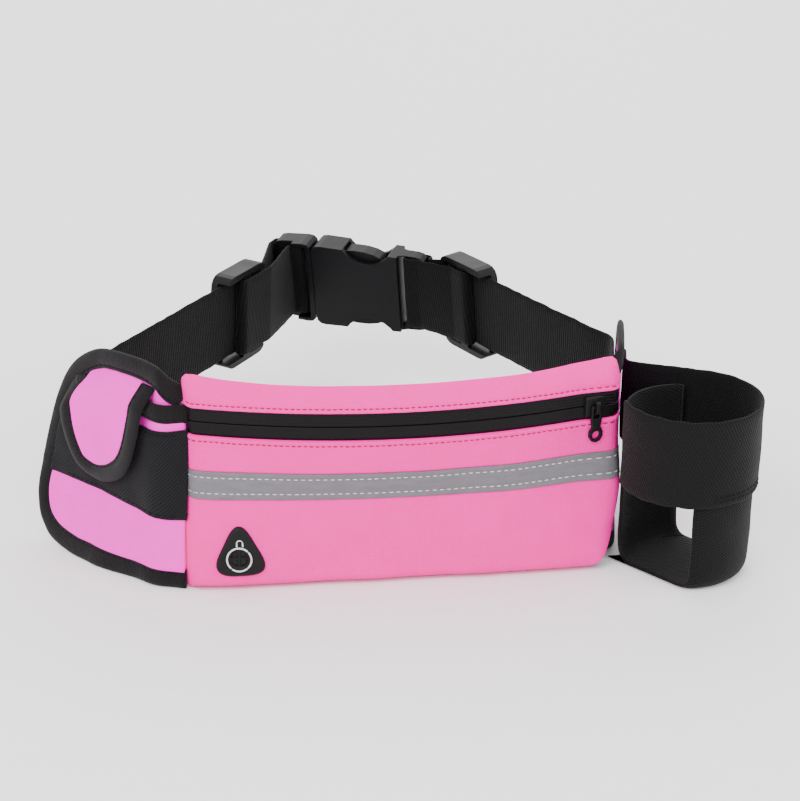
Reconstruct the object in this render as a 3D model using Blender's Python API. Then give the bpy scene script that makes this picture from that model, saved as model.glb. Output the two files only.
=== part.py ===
"""Running waist pack: zipped pouch, flapped side pocket, bottle holder and a buckled belt.

The pack stands on its lower edge, closed into a ring, as it does when the belt is buckled.
+Z is up, the pouch faces -Y, and the buckle is at the back. Every dimension below is in
millimetres and is turned into metres when a mesh is made. Flat pieces are cut out in their
own plane, as (along, up), and then bent onto the curved surface that they are sewn to.
"""

import math

import bmesh
import bpy
from mathutils import Matrix, Vector

MM = 0.001
GAP = 0.3                        # left between pieces that touch
ORIGIN = Vector((-6.07, 49.08, 0.0))  # the middle of the whole pack, moved to the world's origin

# --- pouch ---
POUCH_HALF = 95.3                # half of its length, measured along the front
POUCH_HEIGHT = 95.0              # at its ends
POUCH_DIP = 3.4                  # how much lower its top edge is at the middle
POUCH_DEPTH = 8.0                # back panel's front face to the front panel's outer face
POUCH_MID_X = -3.7
NEOPRENE = 2.0                   # thickness of every neoprene panel
ZIP_RADIUS = 270.0               # the zipper lies on this arc
ZIP_AXIS_Y = 206.0               # the arc's centre, behind the pack
ZIP_FACE = 7.4                   # depth of the tapes' outer face in the pouch
FLAT_BACK_Y = -51.5              # the back panel where the pouch is flat, at its foot
CURVED_FROM = 72.0               # height from which the pouch follows the full arc
ZIP_Z = 75.4
ZIP_HALF = 6.3                   # half of the visible width of the tapes
SLIT = 1.4                       # between the two tapes, where the slider's web runs
SLIDER_AT = 84.5                 # the slider's place along the front, closed
STRIP_LOW, STRIP_HIGH = 42.0, 54.0
PORT_AT = (-71.5, 17.0)

# --- side wings ---
BINDING = 8.5                    # visible width of the edge binding
LEFT_PATH = [(-98.3, -50.2), (-107.3, -47.2), (-113.8, -37.2), (-129.3, -17.2), (-151.3, 5.8),
             (-160, 14)]
LEFT_PATH_Z = 32.0               # the height at which that path is given
WING_LEAN = (7.0, 3.0)           # degrees that it leans in, at the pouch and at its end
WING_FLARE = 11.0                # how far its foot stands out, away from the pouch
WING_EDGE = [(0, 90), (8, 95.5), (20, 98), (38, 98), (52, 95), (66, 85.5), (75.5, 71), (83.5, 50),
             (88.3, 33), (88.8, 21), (84.0, 10), (74, 3), (60, 0.3), (46, 0), (0, 0)]
FLAP_EDGE = [(12, 88.6), (13.6, 74), (17.5, 58), (24, 47.5), (34, 41), (45, 38.6), (56, 41.5),
             (63.5, 49), (68.5, 60), (70.5, 72), (69.5, 82), (66, 88.6)]
RIGHT_START = (90.6, -46.2)
RIGHT_HEADING = 77.5             # degrees, seen from above
RIGHT_EDGE = [(0, 90), (6, 95.5), (14, 98), (34, 98), (50, 93), (62, 82), (68.5, 66), (70, 46),
              (69, 20), (62, 5), (52, 0), (0, 0)]

# --- belt webbing ---
WEB_WIDTH = 40.0
WEB_THICK = 1.4
SLOT_HALF = 21.3                 # half of the height of the slots that it passes through
BELT_Z = 60.0
LEFT_THROUGH = (-127.6, 26.5)    # a point that the left strap's middle passes
LEFT_HEADING = 56.7
RIGHT_THROUGH = (102.8, 17.6)
RIGHT_STRAP_HEADING = 116.4
LEFT_SLIDER_AT = 111.5           # along the strap from the point that it passes
RIGHT_SLIDER_AT = 113.0
LEFT_LEAN, RIGHT_LEAN, BUCKLE_LEAN = 3.0, 5.0, 10.0

# --- strap sliders (tri-glides) ---
GLIDE_LENGTH, GLIDE_WIDTH, GLIDE_BAR = 37.0, 49.0, 6.0

# --- side-release buckle, from the parting line between its halves ---
BUCKLE_AT = (-22.2, 167.7, BELT_Z)
BUCKLE_TURN = -26.6
BUCKLE_WIDTH, BUCKLE_THICK = 47.0, 14.0
FEMALE_BODY, FEMALE_LENGTH, MALE_LENGTH = 47.0, 62.0, 22.6
SCOOP_RADIUS, SCOOP_AT, SCOOP_DEPTH = 16.0, 31.0, 7.5
ARM_PIVOT = (3.0, 12.5)

# --- bottle holder ---
BOTTLE_AT = (121.0, -57.0)
HOLDER_RADIUS = 27.3             # free radius inside the cradle strap
BAND_LOW, BAND_HIGH = 41.0, 80.5
CRADLE_FACES = -51.5             # degrees: where the cradle strap rises in front
BAND_SEWN_AT = 33.0              # along the right wing, where the band's end is sewn

COLOURS = {
    "pink_neoprene": ((0.85, 0.10, 0.36), 0.75, 0.0),
    "black_mesh": ((0.03, 0.03, 0.032), 0.9, 0.0),
    "black_binding": ((0.035, 0.03, 0.033), 0.85, 0.0),
    "black_webbing": ((0.02, 0.02, 0.021), 0.8, 0.0),
    "zipper_tape": ((0.02, 0.02, 0.022), 0.4, 0.0),
    "zipper_nylon": ((0.025, 0.025, 0.025), 0.5, 0.0),
    "zipper_metal": ((0.03, 0.03, 0.03), 0.35, 0.6),
    "reflective_grey": ((0.42, 0.43, 0.44), 0.35, 0.3),
    "black_rubber": ((0.025, 0.025, 0.025), 0.6, 0.0),
    "hook_and_loop": ((0.03, 0.03, 0.03), 0.95, 0.0),
    "buckle_plastic": ((0.022, 0.022, 0.024), 0.45, 0.0),
}


# ---------------------------------------------------------------- scene and mesh helpers

def clear_scene():
    for obj in list(bpy.data.objects):
        bpy.data.objects.remove(obj, do_unlink=True)


def material(name):
    found = bpy.data.materials.get(name)
    if found:
        return found
    colour, roughness, metallic = COLOURS[name]
    made = bpy.data.materials.new(name)
    made.use_nodes = True
    shader = made.node_tree.nodes["Principled BSDF"]
    shader.inputs["Base Color"].default_value = (*colour, 1.0)
    shader.inputs["Roughness"].default_value = roughness
    shader.inputs["Metallic"].default_value = metallic
    return made


def finish(name, bm, slot, origin=(0, 0, 0), turn=(0, 0, 0)):
    """Makes the object from a mesh in millimetres, given relative to its origin and turn."""
    bmesh.ops.recalc_face_normals(bm, faces=bm.faces)
    if bm.calc_volume(signed=True) < 0:
        bmesh.ops.reverse_faces(bm, faces=bm.faces)
    bmesh.ops.scale(bm, vec=(MM, MM, MM), verts=bm.verts)
    mesh = bpy.data.meshes.new(name)
    bm.to_mesh(mesh)
    bm.free()
    mesh.materials.append(material(slot))
    obj = bpy.data.objects.new(name, mesh)
    bpy.context.scene.collection.objects.link(obj)
    obj.location = (Vector(origin) - ORIGIN) * MM
    obj.rotation_euler = [math.radians(angle) for angle in turn]
    return obj


def world_finish(name, bm, slot, origin=(0, 0, 0)):
    """The same, for a mesh given in the pack's own coordinates; origin is its joint's place."""
    bmesh.ops.translate(bm, vec=-Vector(origin), verts=bm.verts)
    return finish(name, bm, slot, origin)


def loft(rings):
    """A closed body through rings of points, with an end face on the first and the last."""
    bm = bmesh.new()
    made = [[bm.verts.new(point) for point in ring] for ring in rings]
    count = len(made[0])
    for near, far in zip(made, made[1:]):
        for i in range(count):
            bm.faces.new((near[i], near[(i + 1) % count], far[(i + 1) % count], far[i]))
    bm.faces.new(made[0])
    bm.faces.new(made[-1][::-1])
    return bm


def prism(outline, low, high, axis="Y"):
    """An outline pushed from low to high. It is (x, z) along Y, or (x, y) along Z."""
    if axis == "Y":
        return loft([[(a, level, b) for a, b in outline] for level in (low, high)])
    return loft([[(a, b, level) for a, b in outline] for level in (low, high)])


def box(low, high):
    x0, y0, z0 = low
    x1, y1, z1 = high
    return prism([(x0, y0), (x1, y0), (x1, y1), (x0, y1)], z0, z1, "Z")


def helper(bm, origin, turn):
    """A hidden solid for a Boolean, placed like the piece that it cuts or joins."""
    obj = finish("helper", bm, "buckle_plastic", origin, turn)
    obj.hide_render = True
    obj.display_type = "WIRE"
    return obj


def boolean(obj, bm, operation, origin=None, turn=None):
    other = helper(bm, Vector(origin) if origin else obj.location / MM + ORIGIN,
                   turn or [math.degrees(angle) for angle in obj.rotation_euler])
    modifier = obj.modifiers.new(operation.lower(), "BOOLEAN")
    modifier.operation = operation
    modifier.object = other


def rounded(points, radius, steps=4):
    """A closed outline with its corners rounded."""
    result = []
    count = len(points)
    for i, corner in enumerate(points):
        here = Vector(corner)
        before = Vector(points[i - 1]) - here
        after = Vector(points[(i + 1) % count]) - here
        reach = min(radius, before.length / 2.01, after.length / 2.01)
        start = here + before.normalized() * reach
        end = here + after.normalized() * reach
        for k in range(steps + 1):
            t = k / steps
            result.append(tuple(start.lerp(here, t).lerp(here.lerp(end, t), t)))
    return result


def turned_point(x, y, degrees):
    angle = math.radians(degrees)
    return (x * math.cos(angle) - y * math.sin(angle), x * math.sin(angle) + y * math.cos(angle))


def smoothstep(t):
    t = min(max(t, 0.0), 1.0)
    return t * t * (3 - 2 * t)


# ---------------------------------------------------------------- plan curves

def filleted(points, radius, step=4.0):
    """An open plan route with its corners turned into arcs. Values after x and y ride along."""
    route = [Vector(points[0])]
    for before, corner, after in zip(points, points[1:], points[2:]):
        here = Vector(corner)
        back = Vector(before) - here
        on = Vector(after) - here
        half = back.xy.angle(on.xy) / 2
        reach = min(radius / math.tan(half), back.xy.length * 0.49, on.xy.length * 0.49)
        start = here + back * (reach / back.xy.length)
        end = here + on * (reach / on.xy.length)
        count = max(2, math.ceil((math.pi - 2 * half) * radius / step))
        for k in range(count + 1):
            t = k / count
            route.append(start.lerp(here, t).lerp(here.lerp(end, t), t))
    route.append(Vector(points[-1]))
    return route


class Route:
    """A plan curve measured along its length; its outward side is away from the pack's middle."""

    def __init__(self, points, outward):
        self.points = [Vector(p) for p in points]
        self.along = [0.0]
        for a, b in zip(self.points, self.points[1:]):
            self.along.append(self.along[-1] + (b - a).xy.length)
        self.outward = outward

    def at(self, s):
        last = len(self.points) - 2
        i = 0
        while i < last and s > self.along[i + 1]:
            i += 1
        span = self.along[i + 1] - self.along[i]
        return self.points[i].lerp(self.points[i + 1], (s - self.along[i]) / span)

    def side(self, s, reach=2.0):
        heading = (self.at(s + reach) - self.at(s - reach)).xy.normalized()
        return Vector((-heading.y, heading.x)) * self.outward


# ---------------------------------------------------------------- bent sheets

def sheet(outline, low, high, place, cuts_along=(), cuts_up=()):
    """Cuts an outline out of flat cloth, thickens it from low to high and bends it with place().

    low and high are depths, or functions of (along, up). The cuts add the edges that bend."""
    flat = bmesh.new()
    flat.faces.new([flat.verts.new((s, z, 0)) for s, z in outline])
    for axis, values in ((Vector((1, 0, 0)), cuts_along), (Vector((0, 1, 0)), cuts_up)):
        for value in values:
            bmesh.ops.bisect_plane(flat, geom=flat.verts[:] + flat.edges[:] + flat.faces[:],
                                   plane_co=axis * value, plane_no=axis, dist=0.01)
    flat.verts.index_update()
    solid = bmesh.new()
    under, over = [], []
    for vert in flat.verts:
        s, z = vert.co.x, vert.co.y
        under.append(solid.verts.new(place(s, z, low(s, z) if callable(low) else low)))
        over.append(solid.verts.new(place(s, z, high(s, z) if callable(high) else high)))
    for face in flat.faces:
        ids = [v.index for v in face.verts]
        solid.faces.new([over[i] for i in ids])
        solid.faces.new([under[i] for i in reversed(ids)])
    for edge in flat.edges:
        if len(edge.link_faces) == 1:
            a, b = (v.index for v in edge.verts)
            solid.faces.new((over[a], over[b], under[b], under[a]))
    flat.free()
    bmesh.ops.triangulate(solid, faces=solid.faces[:], quad_method="SHORT_EDGE")
    return solid


def steps(low, high, spacing):
    count = max(1, round((high - low) / spacing))
    return [low + (high - low) * k / count for k in range(1, count)]


def inset(chain, distance):
    """An open chain of points moved to its right-hand side, which is inside a clockwise edge."""
    moved = []
    for i, point in enumerate(chain):
        here = Vector(point)
        before = (here - Vector(chain[i - 1])).normalized() if i else None
        after = (Vector(chain[i + 1]) - here).normalized() if i < len(chain) - 1 else None
        a = Vector((before.y, -before.x)) if before else None
        b = Vector((after.y, -after.x)) if after else None
        normal = ((a or b) + (b or a)).normalized()
        moved.append(tuple(here + normal * (distance / max(normal.dot(a or b), 0.5))))
    return moved


def clip(outline, axis, limit, keep_below):
    """The part of an outline on one side of a line of constant along (0) or up (1)."""
    kept = []
    for a, b in zip(outline, outline[1:] + outline[:1]):
        a_in = (a[axis] <= limit) == keep_below
        b_in = (b[axis] <= limit) == keep_below
        if a_in:
            kept.append(a)
        if a_in != b_in:
            t = (limit - a[axis]) / (b[axis] - a[axis])
            kept.append(tuple(p + (q - p) * t for p, q in zip(a, b)))
    return kept


# ---------------------------------------------------------------- pouch

def pouch_place(s, z, depth):
    """Curved as the zipper's arc at the top, and straight at the foot, where it stands."""
    angle = s / ZIP_RADIUS
    radius = ZIP_RADIUS + depth - ZIP_FACE
    arc = Vector((POUCH_MID_X + radius * math.sin(angle), ZIP_AXIS_Y - radius * math.cos(angle)))
    flat = Vector((POUCH_MID_X + s * 0.981, FLAT_BACK_Y - depth))
    plan = flat.lerp(arc, smoothstep(z / CURVED_FROM))
    return (plan.x, plan.y, z)


def top_at(s):
    return POUCH_HEIGHT - POUCH_DIP * (1 - (s / POUCH_HALF) ** 4)


def swell(s, z):
    """0 at the pouch's rim and 1 over its face."""
    end = min((POUCH_HALF - abs(s)) / 6.0, 1.0)
    foot = min(z / 7.0, 1.0)
    top = min((top_at(s) - z) / 7.0, 1.0)
    return min(math.sin(math.pi / 2 * max(end, 0)), math.sin(math.pi / 2 * max(min(foot, top), 0)))


def front_inner(s, z):
    return GAP + (POUCH_DEPTH - NEOPRENE - GAP) * swell(s, z)


def front_outer(s, z):
    return front_inner(s, z) + NEOPRENE


def on_front(extra):
    return lambda s, z: front_outer(s, z) + extra


def in_front(extra):
    return lambda s, z: front_inner(s, z) + extra


ACROSS = steps(-87.5, 87.5, 14) + [-87.5, 87.5]
ACROSS_TOP = sorted(ACROSS, reverse=True)
ACROSS_FRONT = ACROSS + [-94, -92, -90, 90, 92, 94]
UP_BACK = [9, 20, 32, 42, 48, 54, 62, 68.8, 75]
UP_LOWER = [1.2, 2.8, 5, 7, 20, 32, 42, 48, 54, 62]
UP_UPPER = [84.5, 86.5, 88.5, 90.2, 92]


def pouch():
    half, top = POUCH_HALF, POUCH_HEIGHT
    corner = [(half, 22), (half - 0.8, 14), (half - 3.5, 7), (half - 8, 2.5), (half - 13, 0)]
    top_edge = [(s, top_at(s)) for s in ACROSS_TOP]
    back = [(-half, 0)] + corner[::-1] + [(half, top)] + top_edge + [(-half, top)]
    world_finish("pouch_back_panel",
                 sheet(back, -NEOPRENE, 0, pouch_place, ACROSS, UP_BACK), "black_mesh")
    zip_low, zip_high = ZIP_Z - ZIP_HALF, ZIP_Z + ZIP_HALF
    lower = [(-half, 0)] + corner[::-1] + [(half, zip_low - GAP), (-half, zip_low - GAP)]
    world_finish("pouch_front_lower_panel",
                 sheet(lower, front_inner, front_outer, pouch_place, ACROSS_FRONT, UP_LOWER),
                 "pink_neoprene")
    upper = [(-half, zip_high + GAP), (half, zip_high + GAP), (half, top - 3.5), (half - 1, top - 1.4),
             (half - 3, top - 0.6)]
    upper += top_edge + [(3 - half, top - 0.6), (1 - half, top - 1.4), (-half, top - 3.5)]
    world_finish("pouch_front_upper_panel",
                 sheet(upper, front_inner, front_outer, pouch_place, ACROSS_FRONT, UP_UPPER),
                 "pink_neoprene")
    zipper(zip_low, zip_high)
    strip = [(-half + 0.5, STRIP_LOW), (half - 0.5, STRIP_LOW), (half - 0.5, STRIP_HIGH),
             (-half + 0.5, STRIP_HIGH)]
    world_finish("reflective_strip",
                 sheet(strip, on_front(GAP), on_front(GAP + 0.6), pouch_place, ACROSS_FRONT, [48]),
                 "reflective_grey")
    headphone_port()


def zipper(zip_low, zip_high):
    reach = POUCH_HALF - 0.5
    edges = {"lower": (zip_low, ZIP_Z - SLIT / 2), "upper": (ZIP_Z + SLIT / 2, zip_high)}
    for side, (low, high) in edges.items():
        tape = [(-reach, low), (reach, low), (reach, high), (-reach, high)]
        world_finish(f"zipper_tape_{side}",
                     sheet(tape, front_inner, in_front(ZIP_FACE - POUCH_DEPTH + NEOPRENE), pouch_place,
                       ACROSS_FRONT),
                     "zipper_tape")
        near = high if side == "lower" else low
        far = near - 1.7 if side == "lower" else near + 1.7
        coil = [(-86, near), (86.5, near), (86.5, far), (-86, far)]
        world_finish(f"zipper_coil_{side}",
                     sheet(coil, in_front(-1.8), in_front(-GAP), pouch_place, steps(-86, 86, 8)),
                     "zipper_nylon")
    for side, (start, end) in {"left": (-89.2, -86.4), "right": (89.4, 91.6)}.items():
        stop = [(start, ZIP_Z - 3), (end, ZIP_Z - 3), (end, ZIP_Z + 3), (start, ZIP_Z + 3)]
        world_finish(f"zipper_stop_{side}",
                     sheet(stop, in_front(-1.7), in_front(-GAP), pouch_place), "zipper_metal")
    zipper_slider()


def slider_place(s, z, depth):
    return pouch_place(SLIDER_AT + s, z, depth)


def zipper_slider():
    """The body is two plates joined by a web through the slit; its crown carries the pull."""
    axis = (POUCH_MID_X, ZIP_AXIS_Y, ZIP_Z)
    face = ZIP_FACE + GAP
    # (up, depth) outline of the body
    back = POUCH_DEPTH - NEOPRENE - 1.8 - GAP
    body = [(-4.6, face), (-0.4, face), (-0.4, back), (-3.6, back), (-3.6, back - 1.4),
            (3.6, back - 1.4), (3.6, back), (0.4, back), (0.4, face), (4.6, face),
            (4.6, face + 1.0), (3.8, face + 1.7), (-3.8, face + 1.7), (-4.6, face + 1.0)]
    crown = [(-3.0, face + 1.5), (-1.5, face + 1.5), (-1.5, face + 3.6), (1.5, face + 3.6),
             (1.5, face + 1.5), (3.0, face + 1.5), (3.0, face + 4.0), (2.2, face + 4.8),
             (-2.2, face + 4.8), (-3.0, face + 4.0)]

    def slab(outline, reach, count):
        stations = [-reach + 2 * reach * k / count for k in range(count + 1)]
        return loft([[slider_place(s, ZIP_Z + z, d) for z, d in outline] for s in stations])

    slider = world_finish("zipper_slider", slab(body, 4.5, 2), "zipper_metal", axis)
    loop = slab(crown, 0.9, 1)
    bmesh.ops.translate(loop, vec=-Vector(axis), verts=loop.verts)
    boolean(slider, loop, "UNION")
    # the pull hangs on the crown; its own frame is x along the front, y into the pack, z up
    bar = face + 2.6
    at = slider_place(0, ZIP_Z, bar)
    pull = [(-1.9, 0.7), (1.9, 0.7), (2.4, 0.2), (2.4, -6.6), (1.9, -9.0), (3.2, -11.5), (3.2, -13.6),
            (2.0, -15.6), (0, -16.2), (-2.0, -15.6), (-3.2, -13.6), (-3.2, -11.5), (-1.9, -9.0),
            (-2.4, -6.6), (-2.4, 0.2)]
    obj = finish("zipper_pull", prism(pull, -0.6, 0.6), "zipper_metal", at,
                 (0, 0, math.degrees(SLIDER_AT / ZIP_RADIUS)))
    boolean(obj, prism([(-1.4, -0.6), (1.4, -0.6), (1.4, -5.2), (-1.4, -5.2)], -2, 2), "DIFFERENCE")
    ring = [(2.0 * math.cos(k * math.pi / 6), -12.9 + 2.0 * math.sin(k * math.pi / 6)) for k in range(12)]
    boolean(obj, prism(ring, -2, 2), "DIFFERENCE")


def headphone_port():
    """A moulded rubber patch, a rounded triangle, that a headphone lead passes through."""
    s0, z0 = PORT_AT
    corners = [(s0 + 0.5, z0 + 14.5), (s0 + 13.5, z0 - 10), (s0 - 12.5, z0 - 10)]
    outline = rounded(corners, 7.5, 4)
    world_finish("headphone_port",
                 sheet(outline, on_front(GAP), on_front(GAP + 1.8), pouch_place,
                       [s0 - 6, s0, s0 + 6], [12, 20]), "black_rubber")


# ---------------------------------------------------------------- left wing and its pocket

LEFT_ROUTE = Route(filleted(LEFT_PATH, 9.0, 1.5), 1)
LEFT_BENDS = [1.5 * k for k in range(1, 24)] + [38, 42, 47, 52, 58, 64, 70, 76, 82]
FLARE_BENDS = [5, 10, 16, 23, LEFT_PATH_Z]


def left_place(s, z, depth):
    lean = WING_LEAN[0] + (WING_LEAN[1] - WING_LEAN[0]) * smoothstep(s / 40)
    below = max(1 - z / LEFT_PATH_Z, 0.0)
    flare = WING_FLARE * smoothstep(s / 45) * below ** 1.4
    shift = depth + flare + (LEFT_PATH_Z - z) * math.tan(math.radians(lean))
    plan = LEFT_ROUTE.at(s) + LEFT_ROUTE.side(s) * shift
    return (plan.x, plan.y, z)


def smooth_chain(points, per_span=2):
    """More points on an open chain, on a Catmull-Rom curve through the given ones."""
    vectors = [Vector(p) for p in points]
    ends = [vectors[0] * 2 - vectors[1]] + vectors + [vectors[-1] * 2 - vectors[-2]]
    result = []
    for p0, p1, p2, p3 in zip(ends, ends[1:], ends[2:], ends[3:]):
        for k in range(per_span):
            t = k / per_span
            result.append(tuple(0.5 * (2 * p1 + (p2 - p0) * t + (2 * p0 - 5 * p1 + 4 * p2 - p3) * t * t
                                       + (3 * p1 - p0 - 3 * p2 + p3) * t ** 3)))
    return result + [tuple(vectors[-1])]


def left_wing():
    edge = smooth_chain(WING_EDGE[:-1]) + [WING_EDGE[-1]]
    bends = LEFT_BENDS
    inner = inset(edge, BINDING)
    world_finish("left_wing_binding",
                 sheet(edge + inner[::-1], -0.6, 3.2, left_place, bends, FLARE_BENDS), "black_binding")
    core = inset(edge, BINDING + 0.6)
    world_finish("left_wing_panel", sheet(core, 0, NEOPRENE, left_place, bends, FLARE_BENDS), "pink_neoprene")
    pocket = clip(core, 1, 75.6, True)
    level = NEOPRENE + GAP
    world_finish("left_pocket_panel", sheet(pocket, level, level + 1.2, left_place, bends, FLARE_BENDS),
                 "pink_neoprene")
    mouth = clip(clip(core, 1, 83.6, True), 1, 76.0, False)
    world_finish("left_pocket_binding", sheet(mouth, level, level + 2.4, left_place, bends), "black_binding")
    level += 1.2 + GAP
    band = clip(clip(core, 1, 72.0, True), 1, 32.0, False)
    world_finish("left_elastic_band", sheet(band, level, level + 1.0, left_place, bends), "black_webbing")
    flap(level + 1.0)


def flap(level):
    """A tongue that hangs over the pocket's mouth, held shut by hook and loop."""
    bends = LEFT_BENDS
    patch = rounded([(30, 47), (30, 60), (54, 60), (54, 47)], 3.0, 2)
    world_finish("pocket_loop_patch",
                 sheet(patch, level + GAP, level + 0.9, left_place, bends), "hook_and_loop")
    hinge = Vector(left_place(40, FLAP_EDGE[0][1] + 0.4, level + 2.2))
    world_finish("flap_hook_patch",
                 sheet(patch, level + 0.9 + GAP, level + 1.8, left_place, bends), "hook_and_loop", hinge)
    edge = smooth_chain(FLAP_EDGE, 2)
    inner = inset(edge, -BINDING)
    inner[0] = (edge[0][0] + BINDING, edge[0][1])
    inner[-1] = (edge[-1][0] - BINDING, edge[-1][1])
    level += 1.8 + GAP
    world_finish("flap_binding", sheet(edge + inner[::-1], level, level + 2.4, left_place, bends),
                 "black_binding", hinge)
    core = inset(edge, -BINDING - GAP)
    core[0] = (edge[0][0] + BINDING + GAP, edge[0][1])
    core[-1] = (edge[-1][0] - BINDING - GAP, edge[-1][1])
    world_finish("flap_panel", sheet(core, level + 0.4, level + 1.9, left_place, bends),
                 "pink_neoprene", hinge)


# ---------------------------------------------------------------- right wing and bottle holder

def right_place(s, z, depth):
    """Flat, upright, and facing the bottle."""
    ahead = Vector(turned_point(1, 0, RIGHT_HEADING))
    outward = Vector((ahead.y, -ahead.x))
    plan = Vector(RIGHT_START) + ahead * s + outward * depth
    return (plan.x, plan.y, z)


def right_wing():
    edge = smooth_chain(RIGHT_EDGE[:-1]) + [RIGHT_EDGE[-1]]
    sections = [[right_place(*outer, -0.6), right_place(*outer, 2.6), right_place(*inner, 2.6),
                 right_place(*inner, -0.6)] for outer, inner in zip(edge, inset(edge, BINDING))]
    world_finish("right_wing_binding", loft(sections), "black_binding")
    world_finish("right_wing_panel",
                 sheet(inset(edge, BINDING + GAP), 0, NEOPRENE, right_place), "pink_neoprene")


def ribbon(route, low, high):
    """Webbing on edge along a plan route, whose points are x, y and the shift for each mm of height."""
    rings = []
    half = WEB_THICK / 2
    for s in route.along:
        here = route.at(s)
        side = route.side(s, 0.6)
        ring = []
        for z, depth in ((low, -half), (high, -half), (high, half), (low, half)):
            plan = here.xy + side * depth + here.zw * (z - BELT_Z)
            ring.append((plan.x, plan.y, z))
        rings.append(ring)
    return loft(rings)


def upright(plan):
    return (plan.x, plan.y, 0.0, 0.0)


def bottle_holder():
    centre = Vector(BOTTLE_AT)
    cradle_outer = HOLDER_RADIUS + WEB_THICK
    radius = cradle_outer + GAP + WEB_THICK / 2
    sewn = Vector(right_place(BAND_SEWN_AT, 0, 2.6 + GAP + WEB_THICK / 2)[:2])
    away = sewn - centre
    tangent = math.atan2(away.y, away.x) - math.acos(radius / away.length)
    start, end = math.radians(184), tangent + 2 * math.pi
    count = 30
    ring = []
    for k in range(count + 1):
        angle = start + (end - start) * k / count
        ring.append(upright(centre + Vector((math.cos(angle), math.sin(angle))) * radius))
    tail = Vector(right_place(BAND_SEWN_AT + 14, 0, 2.6 + GAP + WEB_THICK / 2)[:2])
    route = Route(ring + filleted([ring[-1], upright(sewn), upright(tail)], 6)[1:], -1)
    world_finish("bottle_band", ribbon(route, BAND_LOW, BAND_HIGH), "black_webbing")
    cradle_strap(centre)


def cradle_strap(centre):
    """Up one side, under the bottle, and up the other; curved at the sides and flat below."""
    out = Vector(turned_point(1, 0, CRADLE_FACES))
    across = Vector((-out.y, out.x))
    half = WEB_WIDTH / 2

    def ring(side, reach, level, out_part, up_part):
        """reach and level place the strap's inner face at its middle; the outer face is beyond it."""
        inner, outer = [], []
        for k in range(9):
            w = half * (k / 4 - 1)
            dip = HOLDER_RADIUS - math.sqrt(HOLDER_RADIUS ** 2 - w ** 2)
            near = centre + out * side * (reach - dip) + across * w
            far = near + out * side * WEB_THICK * out_part
            inner.append((near.x, near.y, level))
            outer.append((far.x, far.y, level + WEB_THICK * up_part))
        return inner + outer[::-1]

    full = HOLDER_RADIUS
    # reach, level, and how much of the thickness lies outwards and upwards
    profile = [(full, 74, 1, 0), (full, 10, 1, 0), (full - 0.6, 5, 0.95, -0.3),
               (full - 2.4, 2.4, 0.7, -0.75), (full - 5.5, WEB_THICK, 0, -1)]
    rings = [ring(1, *station) for station in profile]
    rings += [ring(-1, *station) for station in profile[::-1]]
    world_finish("bottle_cradle_strap", loft(rings), "black_webbing")


# ---------------------------------------------------------------- buckle

def buckle_point(x, y):
    """A point of the buckle's own frame, in plan: x towards the female end, y outwards."""
    dx, dy = turned_point(x, y, BUCKLE_TURN)
    return (BUCKLE_AT[0] + dx, BUCKLE_AT[1] + dy)


BUCKLE_PLACE = (BUCKLE_AT, (BUCKLE_LEAN, 0, BUCKLE_TURN))
BUCKLE_TILT = Vector(turned_point(0, -1, BUCKLE_TURN)) * math.tan(math.radians(BUCKLE_LEAN))


def bevelled(bm, width, segments=2):
    edges = [e for e in bm.edges if len(e.link_faces) == 2 and e.calc_face_angle() > 0.9]
    bmesh.ops.bevel(bm, geom=edges, offset=width, segments=segments, profile=0.6, affect="EDGES")
    return bm


def mirrored(outline):
    return [(x, -z) for x, z in reversed(outline)]


def buckle():
    half, thick = BUCKLE_WIDTH / 2, BUCKLE_THICK / 2
    wall_in = half - 3.5
    body = rounded([(GAP, -half), (FEMALE_LENGTH, -half + 2), (FEMALE_LENGTH, half - 2), (GAP, half)], 5.0, 3)
    shell = bevelled(prism(body, -thick, thick), 1.6)
    female = finish("buckle_female", shell, "buckle_plastic", *BUCKLE_PLACE)
    boolean(female, box((-5, -4.5, -wall_in), (FEMALE_BODY - 2, 4.5, wall_in)), "DIFFERENCE")
    # the strap end is thinner, with a slot for the webbing
    for side in (-1, 1):
        step = prism([(FEMALE_BODY + 1, side * 4.6), (FEMALE_BODY + 4, side * 3.4), (80, side * 3.4),
                      (80, side * 12), (FEMALE_BODY + 1, side * 12)][::side], -30, 30, "Z")
        boolean(female, step, "DIFFERENCE")
    slot = box((FEMALE_BODY + 1.5, -12, -SLOT_HALF), (FEMALE_BODY + 6.5, 12, SLOT_HALF))
    boolean(female, slot, "DIFFERENCE")
    for side in (-1, 1):
        centre = side * (half + SCOOP_RADIUS - SCOOP_DEPTH)
        turns = [k * math.pi / 12 for k in range(24)]
        circle = [(SCOOP_AT + SCOOP_RADIUS * math.cos(t), centre + SCOOP_RADIUS * math.sin(t)) for t in turns]
        boolean(female, prism(circle, -12, 12), "DIFFERENCE")
        window = sorted((side * 15.0, side * 30.0))
        boolean(female, box((18.0, -4.5, window[0]), (42.0, 4.5, window[1])), "DIFFERENCE")
    male_half(half)
    for name, side in (("latch_arm_upper", 1), ("latch_arm_lower", -1)):
        latch_arm(name, side)


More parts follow.
